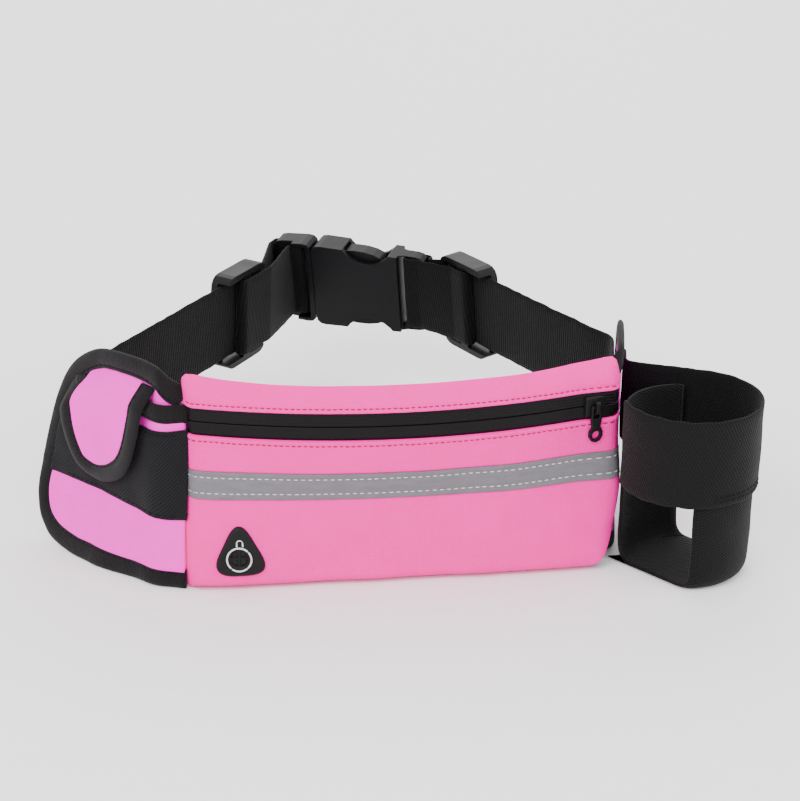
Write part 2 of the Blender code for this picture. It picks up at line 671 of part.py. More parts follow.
def male_half(half):
    outline = rounded([(-MALE_LENGTH, -half + 1.5), (-GAP, -half), (-GAP, half),
                       (-MALE_LENGTH, half - 1.5)], 5.0, 3)
    male = finish("buckle_male", bevelled(prism(outline, -6.0, 6.0), 1.6), "buckle_plastic", *BUCKLE_PLACE)
    boolean(male, box((-8.3, -12, -SLOT_HALF), (-3.3, 12, SLOT_HALF)), "DIFFERENCE")
    for side in (-1, 1):
        step = prism([(-5.5, side * 3.0), (-40, side * 3.0), (-40, side * 12), (-5.5, side * 12)][::-side],
                     -SLOT_HALF, SLOT_HALF, "Z")
        boolean(male, step, "DIFFERENCE")
    boolean(male, box((-40, -12, -30), (-11, -3, 30)), "DIFFERENCE")
    tongue = prism([(-1, -19.4), (1.2, -19.4), (1.2, -6.5), (12, -5.0), (38, -3.6), (40.5, -2.0),
                    (40.5, 2.0), (38, 3.6), (12, 5.0), (1.2, 6.5), (1.2, 19.4), (-1, 19.4)], -3.4, 3.4)
    boolean(male, tongue, "UNION")


def latch_arm(name, side):
    """A springy arm with a finger pad and a shoulder that catches behind the socket's wall."""
    outline = [(1.6, 10.2), (2.4, 9.4), (12, 10.4), (26, 12.2), (37, 13.0), (39, 14.6), (39, 17.0),
               (37.5, 18.8), (34, 20.4), (29, 21.4), (23, 21.6), (19.2, 21.3), (18.4, 20.6), (18.4, 18.2),
               (12, 16.2), (6, 15.2), (2.4, 15.0), (1.6, 14.2)]
    if side < 0:
        outline = mirrored(outline)
    pivot = Vector((ARM_PIVOT[0], 0, side * ARM_PIVOT[1]))
    bm = bevelled(prism([(x - pivot.x, z - pivot.z) for x, z in outline], -4.0, 4.0), 0.6, 1)
    turn = Matrix.Rotation(math.radians(BUCKLE_TURN), 4, "Z")
    lean = Matrix.Rotation(math.radians(BUCKLE_LEAN), 4, "X")
    frame = Matrix.Translation(Vector(BUCKLE_AT)) @ turn @ lean
    finish(name, bm, "buckle_plastic", frame @ pivot, BUCKLE_PLACE[1])


# ---------------------------------------------------------------- belt straps and sliders

class StrapLine:
    """The straight run of one side's webbing; along it, and outwards from it, in plan."""

    def __init__(self, through, heading, outward_side, lean):
        self.through = Vector(through)
        self.heading = heading
        self.outward_side = outward_side
        self.lean = lean
        self.tilt = Vector(turned_point(0, -outward_side, heading)) * math.tan(math.radians(lean))

    def at(self, along, outwards=0.0, twist=0.0):
        """x, y and the shift for each mm of height; twist goes from this strap's lean to the buckle's."""
        plan = self.through + Vector(turned_point(along, self.outward_side * outwards, self.heading))
        tilt = self.tilt.lerp(BUCKLE_TILT, twist)
        return (plan.x, plan.y, tilt.x, tilt.y)


def sewn_at(place, s, depth):
    """A strap's point on a wing, leaning as the wing does there."""
    here = Vector(place(s, BELT_Z, depth))
    above = Vector(place(s, BELT_Z + 1, depth))
    return (here.x, here.y, above.x - here.x, above.y - here.y)


def meeting(near, far, line):
    """Where the line from near to far meets the strap's line, with the strap's own lean."""
    ahead = Vector(far[:2]) - Vector(near[:2])
    run = Vector(turned_point(1, 0, line.heading))
    gap = line.through - Vector(near[:2])
    reach = gap.cross(run) / ahead.cross(run)
    plan = Vector(near[:2]) + ahead * reach
    return (plan.x, plan.y, *line.tilt)


def in_buckle(x, y):
    return (*buckle_point(x, y), *BUCKLE_TILT)


def webbing(name, points, outward):
    route = Route(points, outward)
    world_finish(name, ribbon(route, BELT_Z - WEB_WIDTH / 2, BELT_Z + WEB_WIDTH / 2), "black_webbing")


def glide(name, line, along):
    """A tri-glide: two outer bars outside the strap, and a centre bar inside it that holds the tail."""
    half, width, bar = GLIDE_LENGTH / 2, GLIDE_WIDTH / 2, GLIDE_BAR / 2
    out = line.outward_side
    outline = rounded([(-half, -width), (half, -width), (half, width), (-half, width)], 7.0, 4)
    x, y = line.at(along)[:2]
    obj = finish(name, bevelled(prism(outline, *sorted((out * -5.4, out * 4.6))), 1.4), "buckle_plastic",
                 (x, y, BELT_Z), (out * line.lean, 0, line.heading))
    for low, high in ((-half + 2 * bar, -bar), (bar, half - 2 * bar)):
        boolean(obj, box((low, -9, -SLOT_HALF), (high, 9, SLOT_HALF)), "DIFFERENCE")
    # the webbing's channel: inside the outer bars, and outside the centre bar
    y0, y1 = sorted((out * -12, out * 1.1))
    for low, high in ((-40, -bar - 0.2), (bar + 0.2, 40)):
        boolean(obj, box((low, y0, -SLOT_HALF), (high, y1, SLOT_HALF)), "DIFFERENCE")
    y0, y1 = sorted((out * -2.9, out * 12))
    boolean(obj, box((-bar - 0.6, y0, -SLOT_HALF), (bar + 0.6, y1, SLOT_HALF)), "DIFFERENCE")


def wrapped_tail(line, slider_at, end_at):
    """The tail's run inside the strap, round the slider's centre bar and back to its sewn end."""
    turn_at = slider_at - 4.8
    return [line.at(slider_at + 6, -6.7), line.at(turn_at, -6.7), line.at(turn_at, -1.75),
            line.at(slider_at + 4, -1.75), line.at(end_at, -2.6)]


def left_belt():
    line = StrapLine(LEFT_THROUGH, LEFT_HEADING, 1, LEFT_LEAN)
    near, far = (sewn_at(left_place, s, -2.0) for s in (44, 58))
    corner = meeting(near, far, line)
    first = filleted([near, corner, line.at(LEFT_SLIDER_AT + 20)], 10.0)
    end = -MALE_LENGTH - 1.5
    rest = filleted([line.at(LEFT_SLIDER_AT + 20), line.at(139, 0, 0.9), in_buckle(end, -4.0),
                     in_buckle(end, 4.2), in_buckle(-5.8, 4.2), in_buckle(-5.8, 1.2)], 2.2, 1.5)
    webbing("left_strap", first[:-1] + rest, 1)
    tail = [in_buckle(-5.8, 0.4), in_buckle(-5.8, -4.3), in_buckle(-13, -4.4),
            line.at(LEFT_SLIDER_AT + 20, -6.7)]
    tail += wrapped_tail(line, LEFT_SLIDER_AT, LEFT_SLIDER_AT + 18)
    webbing("left_strap_tail", filleted(tail, 2.2, 1.5), -1)
    glide("left_slider", line, LEFT_SLIDER_AT)


def right_belt():
    line = StrapLine(RIGHT_THROUGH, RIGHT_STRAP_HEADING, -1, RIGHT_LEAN)
    near, corner = (sewn_at(right_place, s, -1.7) for s in (24, 63.7))
    first = filleted([near, corner, line.at(22)], 14.0)
    slot = FEMALE_BODY + 4
    end = FEMALE_LENGTH + 1.7
    rest = filleted([line.at(RIGHT_SLIDER_AT + 17), in_buckle(end, -1.5), in_buckle(end, 4.7),
                     in_buckle(slot, 4.7), in_buckle(slot, 1.2)], 2.2, 1.5)
    webbing("right_strap", first + rest, -1)
    tail = [in_buckle(slot, 0.4), in_buckle(slot, -4.9), in_buckle(slot + 8, -4.9)]
    tail += wrapped_tail(line, RIGHT_SLIDER_AT, RIGHT_SLIDER_AT + 14)
    webbing("right_strap_tail", filleted(tail, 2.2, 1.5), 1)
    glide("right_slider", line, RIGHT_SLIDER_AT)


clear_scene()
pouch()
left_wing()
right_wing()
bottle_holder()
buckle()
left_belt()
right_belt()
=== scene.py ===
"""Visual model of the waist pack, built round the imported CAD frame.

Soft pieces are laid out in millimetres on the same curved surfaces that the CAD pieces are
sewn to: along, up and depth. world() turns those into the frame's metres.
"""

import math

import bmesh
import bpy
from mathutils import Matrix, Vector, noise

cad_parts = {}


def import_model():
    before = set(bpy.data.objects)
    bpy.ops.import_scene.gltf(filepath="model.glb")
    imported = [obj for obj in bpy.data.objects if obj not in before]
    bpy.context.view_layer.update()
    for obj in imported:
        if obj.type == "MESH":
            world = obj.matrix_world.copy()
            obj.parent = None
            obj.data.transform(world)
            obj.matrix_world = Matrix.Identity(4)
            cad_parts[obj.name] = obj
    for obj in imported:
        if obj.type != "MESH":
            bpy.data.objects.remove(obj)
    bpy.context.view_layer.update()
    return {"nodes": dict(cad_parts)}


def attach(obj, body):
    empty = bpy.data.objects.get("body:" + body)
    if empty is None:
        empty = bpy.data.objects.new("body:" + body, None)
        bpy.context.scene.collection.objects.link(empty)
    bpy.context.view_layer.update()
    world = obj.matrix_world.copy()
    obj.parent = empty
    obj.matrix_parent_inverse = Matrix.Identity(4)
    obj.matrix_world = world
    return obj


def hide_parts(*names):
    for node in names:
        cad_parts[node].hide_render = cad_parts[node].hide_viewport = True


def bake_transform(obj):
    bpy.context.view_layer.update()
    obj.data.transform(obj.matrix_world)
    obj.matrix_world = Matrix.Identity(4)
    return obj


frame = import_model()

MM = 0.001
ORIGIN = Vector((-6.07, 49.08, 0.0))

# the CAD's layout, in millimetres
POUCH_HALF, POUCH_HEIGHT, POUCH_DIP, POUCH_DEPTH, POUCH_MID_X = 95.3, 95.0, 3.4, 8.0, -3.7
NEOPRENE, GAP = 2.0, 0.3
ZIP_RADIUS, ZIP_AXIS_Y, ZIP_FACE, ZIP_Z, ZIP_HALF, SLIT = 270.0, 206.0, 7.4, 75.4, 6.3, 1.4
FLAT_BACK_Y, CURVED_FROM = -51.5, 72.0
STRIP_LOW, STRIP_HIGH = 42.0, 54.0
PORT_AT = (-71.5, 18.4)
BINDING = 8.5
LEFT_PATH = [(-98.3, -50.2), (-107.3, -47.2), (-113.8, -37.2), (-129.3, -17.2), (-151.3, 5.8), (-160, 14)]
LEFT_PATH_Z = 32.0
WING_LEAN = (7.0, 3.0)
WING_FLARE = 11.0
WING_EDGE = [(0, 90), (8, 95.5), (20, 98), (38, 98), (52, 95), (66, 85.5), (75.5, 71), (83.5, 50),
             (88.3, 33), (88.8, 21), (84.0, 10), (74, 3), (60, 0.3), (46, 0), (0, 0)]
FLAP_EDGE = [(12, 88.6), (13.6, 74), (17.5, 58), (24, 47.5), (34, 41), (45, 38.6), (56, 41.5),
             (62.0, 49), (66.0, 60), (67.6, 72), (66.0, 80), (62.0, 86)]
RIGHT_START, RIGHT_HEADING = (90.6, -46.2), 77.5
RIGHT_EDGE = [(0, 90), (6, 95.5), (14, 98), (34, 98), (50, 93), (62, 82), (68.5, 66), (70, 46),
              (69, 20), (62, 5), (52, 0), (0, 0)]
WEB_WIDTH, WEB_THICK, BELT_Z = 40.0, 1.4, 60.0
LEFT_LINE = ((-127.6, 26.5), 56.7, 1, 3.0)
RIGHT_LINE = ((102.8, 17.6), 116.4, -1, 5.0)
LEFT_SLIDER_AT, RIGHT_SLIDER_AT = 111.5, 113.0
BUCKLE_AT, BUCKLE_TURN, BUCKLE_LEAN = (-22.2, 167.7), -26.6, 10.0
FEMALE_BODY, FEMALE_LENGTH, MALE_LENGTH = 47.0, 62.0, 22.6
BOTTLE_AT, HOLDER_RADIUS = Vector((121.0, -57.0)), 27.3
BAND_LOW, BAND_HIGH, BAND_SEWN_AT, CRADLE_FACES = 41.0, 80.5, 33.0, -51.5


# ---------------------------------------------------------------- small helpers

def world(point):
    return ((point[0] - ORIGIN.x) * MM, (point[1] - ORIGIN.y) * MM, point[2] * MM)


def turned(x, y, degrees):
    angle = math.radians(degrees)
    return (x * math.cos(angle) - y * math.sin(angle), x * math.sin(angle) + y * math.cos(angle))


def smoothstep(t):
    t = min(max(t, 0.0), 1.0)
    return t * t * (3 - 2 * t)


def wave(s, z, scale, seed):
    """Smooth noise over a piece, from about -1 to 1."""
    return 2.0 * noise.noise(Vector((s / scale, z / scale, seed)))


def catmull(points, spacing=1.6, closed=False):
    """A smooth chain through the points, about that far apart."""
    vectors = [Vector(p) for p in points]
    if closed:
        ends = [vectors[-1]] + vectors + vectors[:2]
    else:
        ends = [vectors[0] * 2 - vectors[1]] + vectors + [vectors[-1] * 2 - vectors[-2]]
    result = []
    for p0, p1, p2, p3 in zip(ends, ends[1:], ends[2:], ends[3:]):
        count = max(1, round((p2 - p1).length / spacing))
        for k in range(count):
            t = k / count
            result.append(0.5 * (2 * p1 + (p2 - p0) * t + (2 * p0 - 5 * p1 + 4 * p2 - p3) * t * t
                                 + (3 * p1 - p0 - 3 * p2 + p3) * t ** 3))
    return result if closed else result + [vectors[-1]]


def resample(points, spacing, closed=True):
    """The same outline with long edges divided."""
    vectors = [Vector(p) for p in points]
    pairs = list(zip(vectors, vectors[1:] + vectors[:1])) if closed else list(zip(vectors, vectors[1:]))
    result = []
    for a, b in pairs:
        count = max(1, math.ceil((b - a).length / spacing))
        result += [a.lerp(b, k / count) for k in range(count)]
    return result if closed else result + [vectors[-1]]


def offset(points, distance, closed=False):
    """A chain or outline moved to its right-hand side."""
    moved = []
    last = len(points) - 1
    for i, here in enumerate(points):
        before = here - points[i - 1] if i or closed else None
        after = points[(i + 1) % (last + 1)] - here if i < last or closed else None
        normals = [Vector((d.y, -d.x)).normalized() for d in (before, after) if d is not None]
        normal = sum(normals, Vector((0, 0))).normalized()
        moved.append(here + normal * (distance / max(normal.dot(normals[0]), 0.5)))
    return moved


def inside(outline, distance):
    """A closed outline moved inwards, whichever way round it runs."""
    area = sum(a.cross(b) for a, b in zip(outline, outline[1:] + outline[:1]))
    return offset(outline, distance if area < 0 else -distance, True)


def rounded(points, radius, steps=5):
    result = []
    for i, corner in enumerate(points):
        here = Vector(corner)
        before = Vector(points[i - 1]) - here
        after = Vector(points[(i + 1) % len(points)]) - here
        reach = min(radius, before.length / 2.01, after.length / 2.01)
        start = here + before.normalized() * reach
        end = here + after.normalized() * reach
        for k in range(steps + 1):
            t = k / steps
            result.append(start.lerp(here, t).lerp(here.lerp(end, t), t))
    return result


class Route:
    """A plan curve measured along its length; values after x and y ride along."""

    def __init__(self, points, outward):
        self.points = [Vector(p) for p in points]
        self.along = [0.0]
        for a, b in zip(self.points, self.points[1:]):
            self.along.append(self.along[-1] + (b - a).xy.length)
        self.outward = outward

    def at(self, s):
        last = len(self.points) - 2
        i = 0
        while i < last and s > self.along[i + 1]:
            i += 1
        span = self.along[i + 1] - self.along[i]
        return self.points[i].lerp(self.points[i + 1], (s - self.along[i]) / span)

    def side(self, s, reach=2.0):
        heading = (self.at(s + reach) - self.at(s - reach)).xy.normalized()
        return Vector((-heading.y, heading.x)) * self.outward


def filleted(points, radius, step=1.5):
    route = [Vector(points[0])]
    for before, corner, after in zip(points, points[1:], points[2:]):
        here = Vector(corner)
        back = Vector(before) - here
        on = Vector(after) - here
        half = back.xy.angle(on.xy) / 2
        reach = min(radius / math.tan(half), back.xy.length * 0.49, on.xy.length * 0.49)
        start = here + back * (reach / back.xy.length)
        end = here + on * (reach / on.xy.length)
        count = max(2, math.ceil((math.pi - 2 * half) * radius / step))
        for k in range(count + 1):
            t = k / count
            route.append(start.lerp(here, t).lerp(here.lerp(end, t), t))
    route.append(Vector(points[-1]))
    return route


# ---------------------------------------------------------------- where pieces lie

def pouch_sway(s, z):
    """The soft pouch isn't quite even: long shallow waves, none along the zipper."""
    calm = smoothstep((abs(z - ZIP_Z) - 4.0) / 16.0)
    return (0.55 * wave(s, z * 0.8, 42.0, 1.7) + 0.25 * wave(s, z, 19.0, 5.1)) * calm


def pouch_sag(s, z):
    """The lower part of the front stands a little proud."""
    ends = smoothstep((POUCH_HALF - abs(s)) / 25.0)
    return (1.0 + 1.4 * ends) * smoothstep(z / 2.5) * smoothstep((60.0 - z) / 48.0)


def pouch_place(s, z, depth):
    depth += pouch_sway(s, z) + pouch_sag(s, z) * smoothstep((depth - 1.0) / 3.0)
    angle = s / ZIP_RADIUS
    radius = ZIP_RADIUS + depth - ZIP_FACE
    arc = Vector((POUCH_MID_X + radius * math.sin(angle), ZIP_AXIS_Y - radius * math.cos(angle)))
    flat = Vector((POUCH_MID_X + s * 0.981, FLAT_BACK_Y - depth))
    plan = flat.lerp(arc, smoothstep(z / CURVED_FROM))
    bulge = 2.6 * smoothstep((z - 14.0) / 26.0) * smoothstep((99.0 - z) / 16.0)
    pulled = (2.2 * smoothstep(z / 45.0) + bulge) * smoothstep((s - 76.0) / 16.0)
    return (plan.x + pulled, plan.y - 0.3 * pulled, z)


LEFT_ROUTE = Route(filleted(LEFT_PATH, 9.0, 1.0), 1)


def left_place(s, z, depth):
    depth += 0.35 * wave(s, z, 26.0, 9.3)
    lean = WING_LEAN[0] + (WING_LEAN[1] - WING_LEAN[0]) * smoothstep(s / 40)
    flare = WING_FLARE * smoothstep(s / 45) * max(1 - z / LEFT_PATH_Z, 0.0) ** 1.4
    tucked = 3.5 * smoothstep((5.0 - s) / 9.0) * smoothstep(z / CURVED_FROM)
    shift = depth + flare - tucked + (LEFT_PATH_Z - z) * math.tan(math.radians(lean))
    plan = LEFT_ROUTE.at(s).xy + LEFT_ROUTE.side(s, 3.0) * shift
    return (plan.x, plan.y, z)


def right_place(s, z, depth):
    ahead = Vector(turned(1, 0, RIGHT_HEADING))
    outward = Vector((ahead.y, -ahead.x))
    tucked = 4.6 * smoothstep((9.0 - s) / 9.0)
    plan = Vector(RIGHT_START) + ahead * s + outward * (depth - tucked)
    return (plan.x, plan.y, z)


def top_at(s):
    """Height of the pouch's top edge, which dips between its ends."""
    return POUCH_HEIGHT - POUCH_DIP * (1 - (s / POUCH_HALF) ** 4)


def swell(s, z):
    """0 at the pouch's rim and 1 over its face."""
    end = min((POUCH_HALF - abs(s)) / 7.0, 1.0)
    foot = min(z / 4.0, 1.0)
    top = min((top_at(s) - z) / 8.0, 1.0)
    return min(math.sin(math.pi / 2 * max(end, 0)), math.sin(math.pi / 2 * max(min(foot, top), 0)))


def front_face(s, z):
    """Depth of the front cloth's outer face."""
    return GAP + (POUCH_DEPTH - NEOPRENE - GAP) * swell(s, z) + NEOPRENE


# ---------------------------------------------------------------- mesh makers

def make(name, bm, material, slot, body, *nodes):
    mesh = bpy.data.meshes.new(name)
    bm.to_mesh(mesh)
    bm.free()
    mesh.materials.append(material)
    mesh.polygons.foreach_set("use_smooth", [True] * len(mesh.polygons))
    obj = bpy.data.objects.new(name, mesh)
    bpy.context.scene.collection.objects.link(obj)
    if body:
        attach(obj, body)
    if nodes:
        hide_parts(*nodes)
    return obj


def fabric_layer(bm):
    return bm.verts.layers.float_vector.new("fabric")


def cloth(outline, place, mid, half, cuts_z=(), relief=None, edge=None, step=2.5):
    """A piece of cloth: its outline, bent with place(), with a rounded rim and a relief on its face."""
    edge = edge or half
    outline = resample(outline, step)
    flat = bmesh.new()
    loops = [[flat.verts.new((p.x, p.y, 0)) for p in inside(outline, row)]
             for row in (0.0, edge * 0.12, edge * 0.42, edge)]
    count = len(outline)
    for a, b in zip(loops, loops[1:]):
        for i in range(count):
            flat.faces.new((a[i], a[(i + 1) % count], b[(i + 1) % count], b[i]))
    flat.faces.new(loops[-1])
    spans = [[min(p[i] for p in outline), max(p[i] for p in outline)] for i in (0, 1)]
    for i, given in ((0, ()), (1, cuts_z)):
        low, high = spans[i]
        number = int((high - low) / step)
        values = [low + (high - low) * k / number for k in range(1, number)] + list(given)
        axis = Vector((1, 0, 0)) if i == 0 else Vector((0, 1, 0))
        for value in values:
            bmesh.ops.bisect_plane(flat, geom=flat.verts[:] + flat.edges[:] + flat.faces[:],
                                   plane_co=axis * value, plane_no=axis, dist=0.02)
    rim = {v for e in flat.edges if len(e.link_faces) == 1 for v in e.verts}
    flat.verts.index_update()
    solid = bmesh.new()
    layer = fabric_layer(solid)
    under, over = [], []
    segments = list(zip(outline, outline[1:] + outline[:1]))
    for vert in flat.verts:
        here = vert.co.xy
        s, z = here
        if vert in rim:
            level = 0.0
        else:
            distance = min(rim_distance(here, a, b) for a, b in segments)
            t = min(distance / edge, 1.0)
            level = half * math.sqrt(max(1 - (1 - t) ** 2, 0.0))
        middle = mid(s, z) if callable(mid) else mid
        lift = relief(s, z) * (level / half) if relief else 0.0
        top = solid.verts.new(world(place(s, z, middle + level + lift)))
        top[layer] = (s, z, 0.0)
        over.append(top)
        if vert in rim:
            under.append(top)
        else:
            low = solid.verts.new(world(place(s, z, middle - level)))
            low[layer] = (s, z, 3.0)
            under.append(low)
    for face in flat.faces:
        ids = [v.index for v in face.verts]
        solid.faces.new([over[i] for i in ids])
        back = [under[i] for i in reversed(ids)]
        if len(set(back) & set(over[i] for i in ids)) < len(ids):
            solid.faces.new(back)
    flat.free()
    bmesh.ops.recalc_face_normals(solid, faces=solid.faces)
    return solid


def rim_distance(p, a, b):
    ab = b - a
    t = min(max((p - a).dot(ab) / ab.length_squared, 0.0), 1.0)
    return (p - a - ab * t).length


def swept(rings, coords):
    """A body through rings of points in millimetres, with fabric coordinates for each point."""
    bm = bmesh.new()
    layer = fabric_layer(bm)
    made = []
    for ring, values in zip(rings, coords):
        row = []
        for point, value in zip(ring, values):
            vert = bm.verts.new(world(point))
            vert[layer] = value
            row.append(vert)
        made.append(row)
    count = len(made[0])
    for near, far in zip(made, made[1:]):
        for i in range(count):
            bm.faces.new((near[i], near[(i + 1) % count], far[(i + 1) % count], far[i]))
    bm.faces.new(made[0])
    bm.faces.new(made[-1][::-1])
    bmesh.ops.recalc_face_normals(bm, faces=bm.faces)
    return bm


BIND_PROFILE = [(8.5, 2.0), (8.35, 2.5), (7.9, 2.85), (7.3, 2.8), (6.9, 2.62), (6.5, 2.8), (5.6, 3.1),
                (4.0, 3.25), (2.4, 3.15), (1.2, 2.75), (0.4, 2.1), (0.0, 1.3), (0.3, 0.4), (1.2, -0.3),
                (2.6, -0.6), (6.0, -0.6), (8.2, -0.5), (8.5, 0.2)]


def binding(chain, inward, place, base=None, profile=BIND_PROFILE):
    """Folded tape along an edge: the profile is (in from the edge, depth)."""
    rows = [offset(chain, w * inward) for w, _ in profile]
    along = [0.0]
    for a, b in zip(chain, chain[1:]):
        along.append(along[-1] + (b - a).length)
    rings, coords = [], []
    for i in range(len(chain)):
        ring, values = [], []
        for row, (w, depth) in zip(rows, profile):
            s, z = row[i]
            bump = 0.12 * wave(along[i], w, 3.0, 2.2) * smoothstep((depth - 1.5) / 1.0)
            ring.append(place(s, z, (base(s, z) if base else 0.0) + depth + bump))
            values.append((along[i], w + depth, 1.0))
        rings.append(ring)
        coords.append(values)
    return swept(rings, coords)


def band_section(low, high, thick, steps=14):
    """Cross-section of flat webbing: (up, depth) points with soft edges."""
    edge = thick / 2
    face = [low + edge + (high - low - 2 * edge) * k / steps for k in range(steps + 1)]
    section = [(z, edge) for z in face]
    section += [(high - 0.12, edge * 0.5), (high, 0.0), (high - 0.12, -edge * 0.5)]
    section += [(z, -edge) for z in reversed(face)]
    section += [(low + 0.12, -edge * 0.5), (low, 0.0), (low + 0.12, edge * 0.5)]
    return section


def ribbon(route, low, high, seed, step=1.5, thick=WEB_THICK, sway=0.25):
    """Webbing on edge along a plan route whose points are x, y and the shift for each mm of height."""
    total = route.along[-1]
    stations = sorted({0.0, total} | {round(s, 3) for s in route.along[1:-1]})
    fine = []
    for a, b in zip(stations, stations[1:]):
        count = max(1, math.ceil((b - a) / step))
        fine += [a + (b - a) * k / count for k in range(count)]
    fine.append(total)
    section = band_section(low, high, thick)
    rings, coords = [], []
    for s in fine:
        here = route.at(s)
        side = route.side(s, 0.7)
        ring, values = [], []
        for z, depth in section:
            ripple = sway * 0.5 * wave(s, z, 16.0, seed)
            plan = here.xy + side * (depth + ripple) + here.zw * (z - BELT_Z)
            edge_wave = 0.18 * wave(s, 0.0, 5.0, seed + 3.0) if z > high - 0.5 or z < low + 0.5 else 0.0
            ring.append((plan.x, plan.y, z + edge_wave))
            values.append((s, z, 1.0 if depth > 0 else 2.0))
        rings.append(ring)
        coords.append(values)
    return swept(rings, coords)


def tube_into(bm, points, radii, sides=6):
    """Adds a closed round thread through points in metres."""
    rows = []
    for i, point in enumerate(points):
        ahead = (points[min(i + 1, len(points) - 1)] - points[max(i - 1, 0)]).normalized()
        across = ahead.orthogonal().normalized()
        other = ahead.cross(across)
        rows.append([bm.verts.new(point + (across * math.cos(a) + other * math.sin(a)) * radii[i])
                     for a in (2 * math.pi * k / sides for k in range(sides))])
    for near, far in zip(rows, rows[1:]):
        for i in range(sides):
            bm.faces.new((near[i], near[(i + 1) % sides], far[(i + 1) % sides], far[i]))
    bm.faces.new(rows[0][::-1])
    bm.faces.new(rows[-1])


def row(start, end, level, count):
    """A straight path at one height, for sew()."""
    return [Vector((start + k * (end - start) / count, level)) for k in range(count + 1)]


def sew(bm, path, place, surface, pitch=3.0, length=2.2, radius=0.2):
    """Adds a row of stitches along a path of (along, up), each sinking into the cloth at its ends."""
    along = [0.0]
    for a, b in zip(path, path[1:]):
        along.append(along[-1] + (b - a).length)

    def at(s):
        i = 0
        while i < len(path) - 2 and s > along[i + 1]:
            i += 1
        return path[i].lerp(path[i + 1], (s - along[i]) / (along[i + 1] - along[i]))

    count = int((along[-1] - 1.0) / pitch)
    for k in range(count):
        start = 0.8 + k * pitch + 0.25 * noise.noise(Vector((k * 0.7, path[0].y, 4.0)))
        points, radii = [], []
        for f in (0.0, 0.15, 0.5, 0.85, 1.0):
            s, z = at(start + length * f)
            sink = surface(s, z) - 0.32 + 0.42 * math.sin(math.pi * min(max(f, 0.08), 0.92))
            points.append(Vector(world(place(s, z, sink))))
            radii.append(radius * MM * (0.55 if f in (0.0, 1.0) else 1.0))
        tube_into(bm, points, radii)


# ---------------------------------------------------------------- materials

CLOTH_SPECULAR = 0.07


def add(tree, kind, props=None, **inputs):
    node = tree.nodes.new("ShaderNode" + kind)
    for key, value in (props or {}).items():
        setattr(node, key, value)
    for key, value in inputs.items():
        socket = node.inputs[int(key[1:])] if key[1:].isdigit() else node.inputs[key.replace("_", " ")]
        if isinstance(value, bpy.types.NodeSocket):
            tree.links.new(value, socket)
        else:
            socket.default_value = value
    return node


def math_node(tree, operation, a, b=0.0, c=0.0):
    return add(tree, "Math", {"operation": operation}, i0=a, i1=b, i2=c).outputs[0]


def blended(tree, a, a_share, b, b_share):
    """a * a_share + b * b_share."""
    return math_node(tree, "MULTIPLY_ADD", a, a_share, math_node(tree, "MULTIPLY", b, b_share))


def fabric_coords(tree):
    """(along, up, whole vector) in millimetres, as laid out on the cloth."""
    found = add(tree, "Attribute", {"attribute_name": "fabric"})
    split = add(tree, "SeparateXYZ", i0=found.outputs["Vector"])
    return split.outputs[0], split.outputs[1], found.outputs["Vector"]


def ripple(tree, value, period, phase=0.0):
    """A sine from 0 to 1 along a value, with that period in millimetres."""
    angle = math_node(tree, "MULTIPLY_ADD", value, 2 * math.pi / period, phase)
    return math_node(tree, "MULTIPLY_ADD", math_node(tree, "SINE", angle), 0.5, 0.5)


def stretched(tree, vector, scale):
    return add(tree, "VectorMath", {"operation": "MULTIPLY"}, i0=vector, i1=scale).outputs[0]


def speckle(tree, vector, scale, detail=3.0):
    return add(tree, "TexNoise", Vector=vector, Scale=scale, Detail=detail, Roughness=0.6).outputs["Fac"]


def new_material(name, roughness, specular=CLOTH_SPECULAR, **constants):
    made = bpy.data.materials.new(name)
    made.use_nodes = True
    tree = made.node_tree
    shader = tree.nodes["Principled BSDF"]
    shader.inputs["Roughness"].default_value = roughness
    shader.inputs["Specular IOR Level"].default_value = specular
    for key, value in constants.items():
        shader.inputs[key.replace("_", " ")].default_value = value
    return made, tree, shader


def colour_between(tree, shader, shade, dark, light):
    mix = add(tree, "Mix", {"data_type": "RGBA"}, i0=shade, i6=(*dark, 1), i7=(*light, 1))
    tree.links.new(mix.outputs[2], shader.inputs["Base Color"])


def finish_fabric(tree, shader, dark, light, shade, height, distance, strength=1.0):
    """Colour from shade and bump from height."""
    colour_between(tree, shader, shade, dark, light)
    bump = add(tree, "Bump", Strength=strength, Distance=distance * MM, Height=height).outputs[0]
    tree.links.new(bump, shader.inputs["Normal"])


def knit(name, dark, light, sheen):
    """Jersey face of neoprene: fine columns and rows, with a faint slub."""
    made, tree, shader = new_material(name, 0.72, Sheen_Weight=sheen, Sheen_Roughness=0.5)
    s, z, whole = fabric_coords(tree)
    stitch = math_node(tree, "MULTIPLY", ripple(tree, s, 0.85), ripple(tree, z, 0.7))
    slub = speckle(tree, stretched(tree, whole, (0.35, 1.3, 1.0)), 0.9)
    broad = speckle(tree, whole, 0.06, 2.0)
    shade = blended(tree, slub, 0.55, stitch, 0.2)
    shade = math_node(tree, "MULTIPLY_ADD", broad, 0.5, shade)
    height = blended(tree, slub, 0.8, stitch, 0.7)
    finish_fabric(tree, shader, dark, light, shade, height, 0.16, 0.8)
    return made


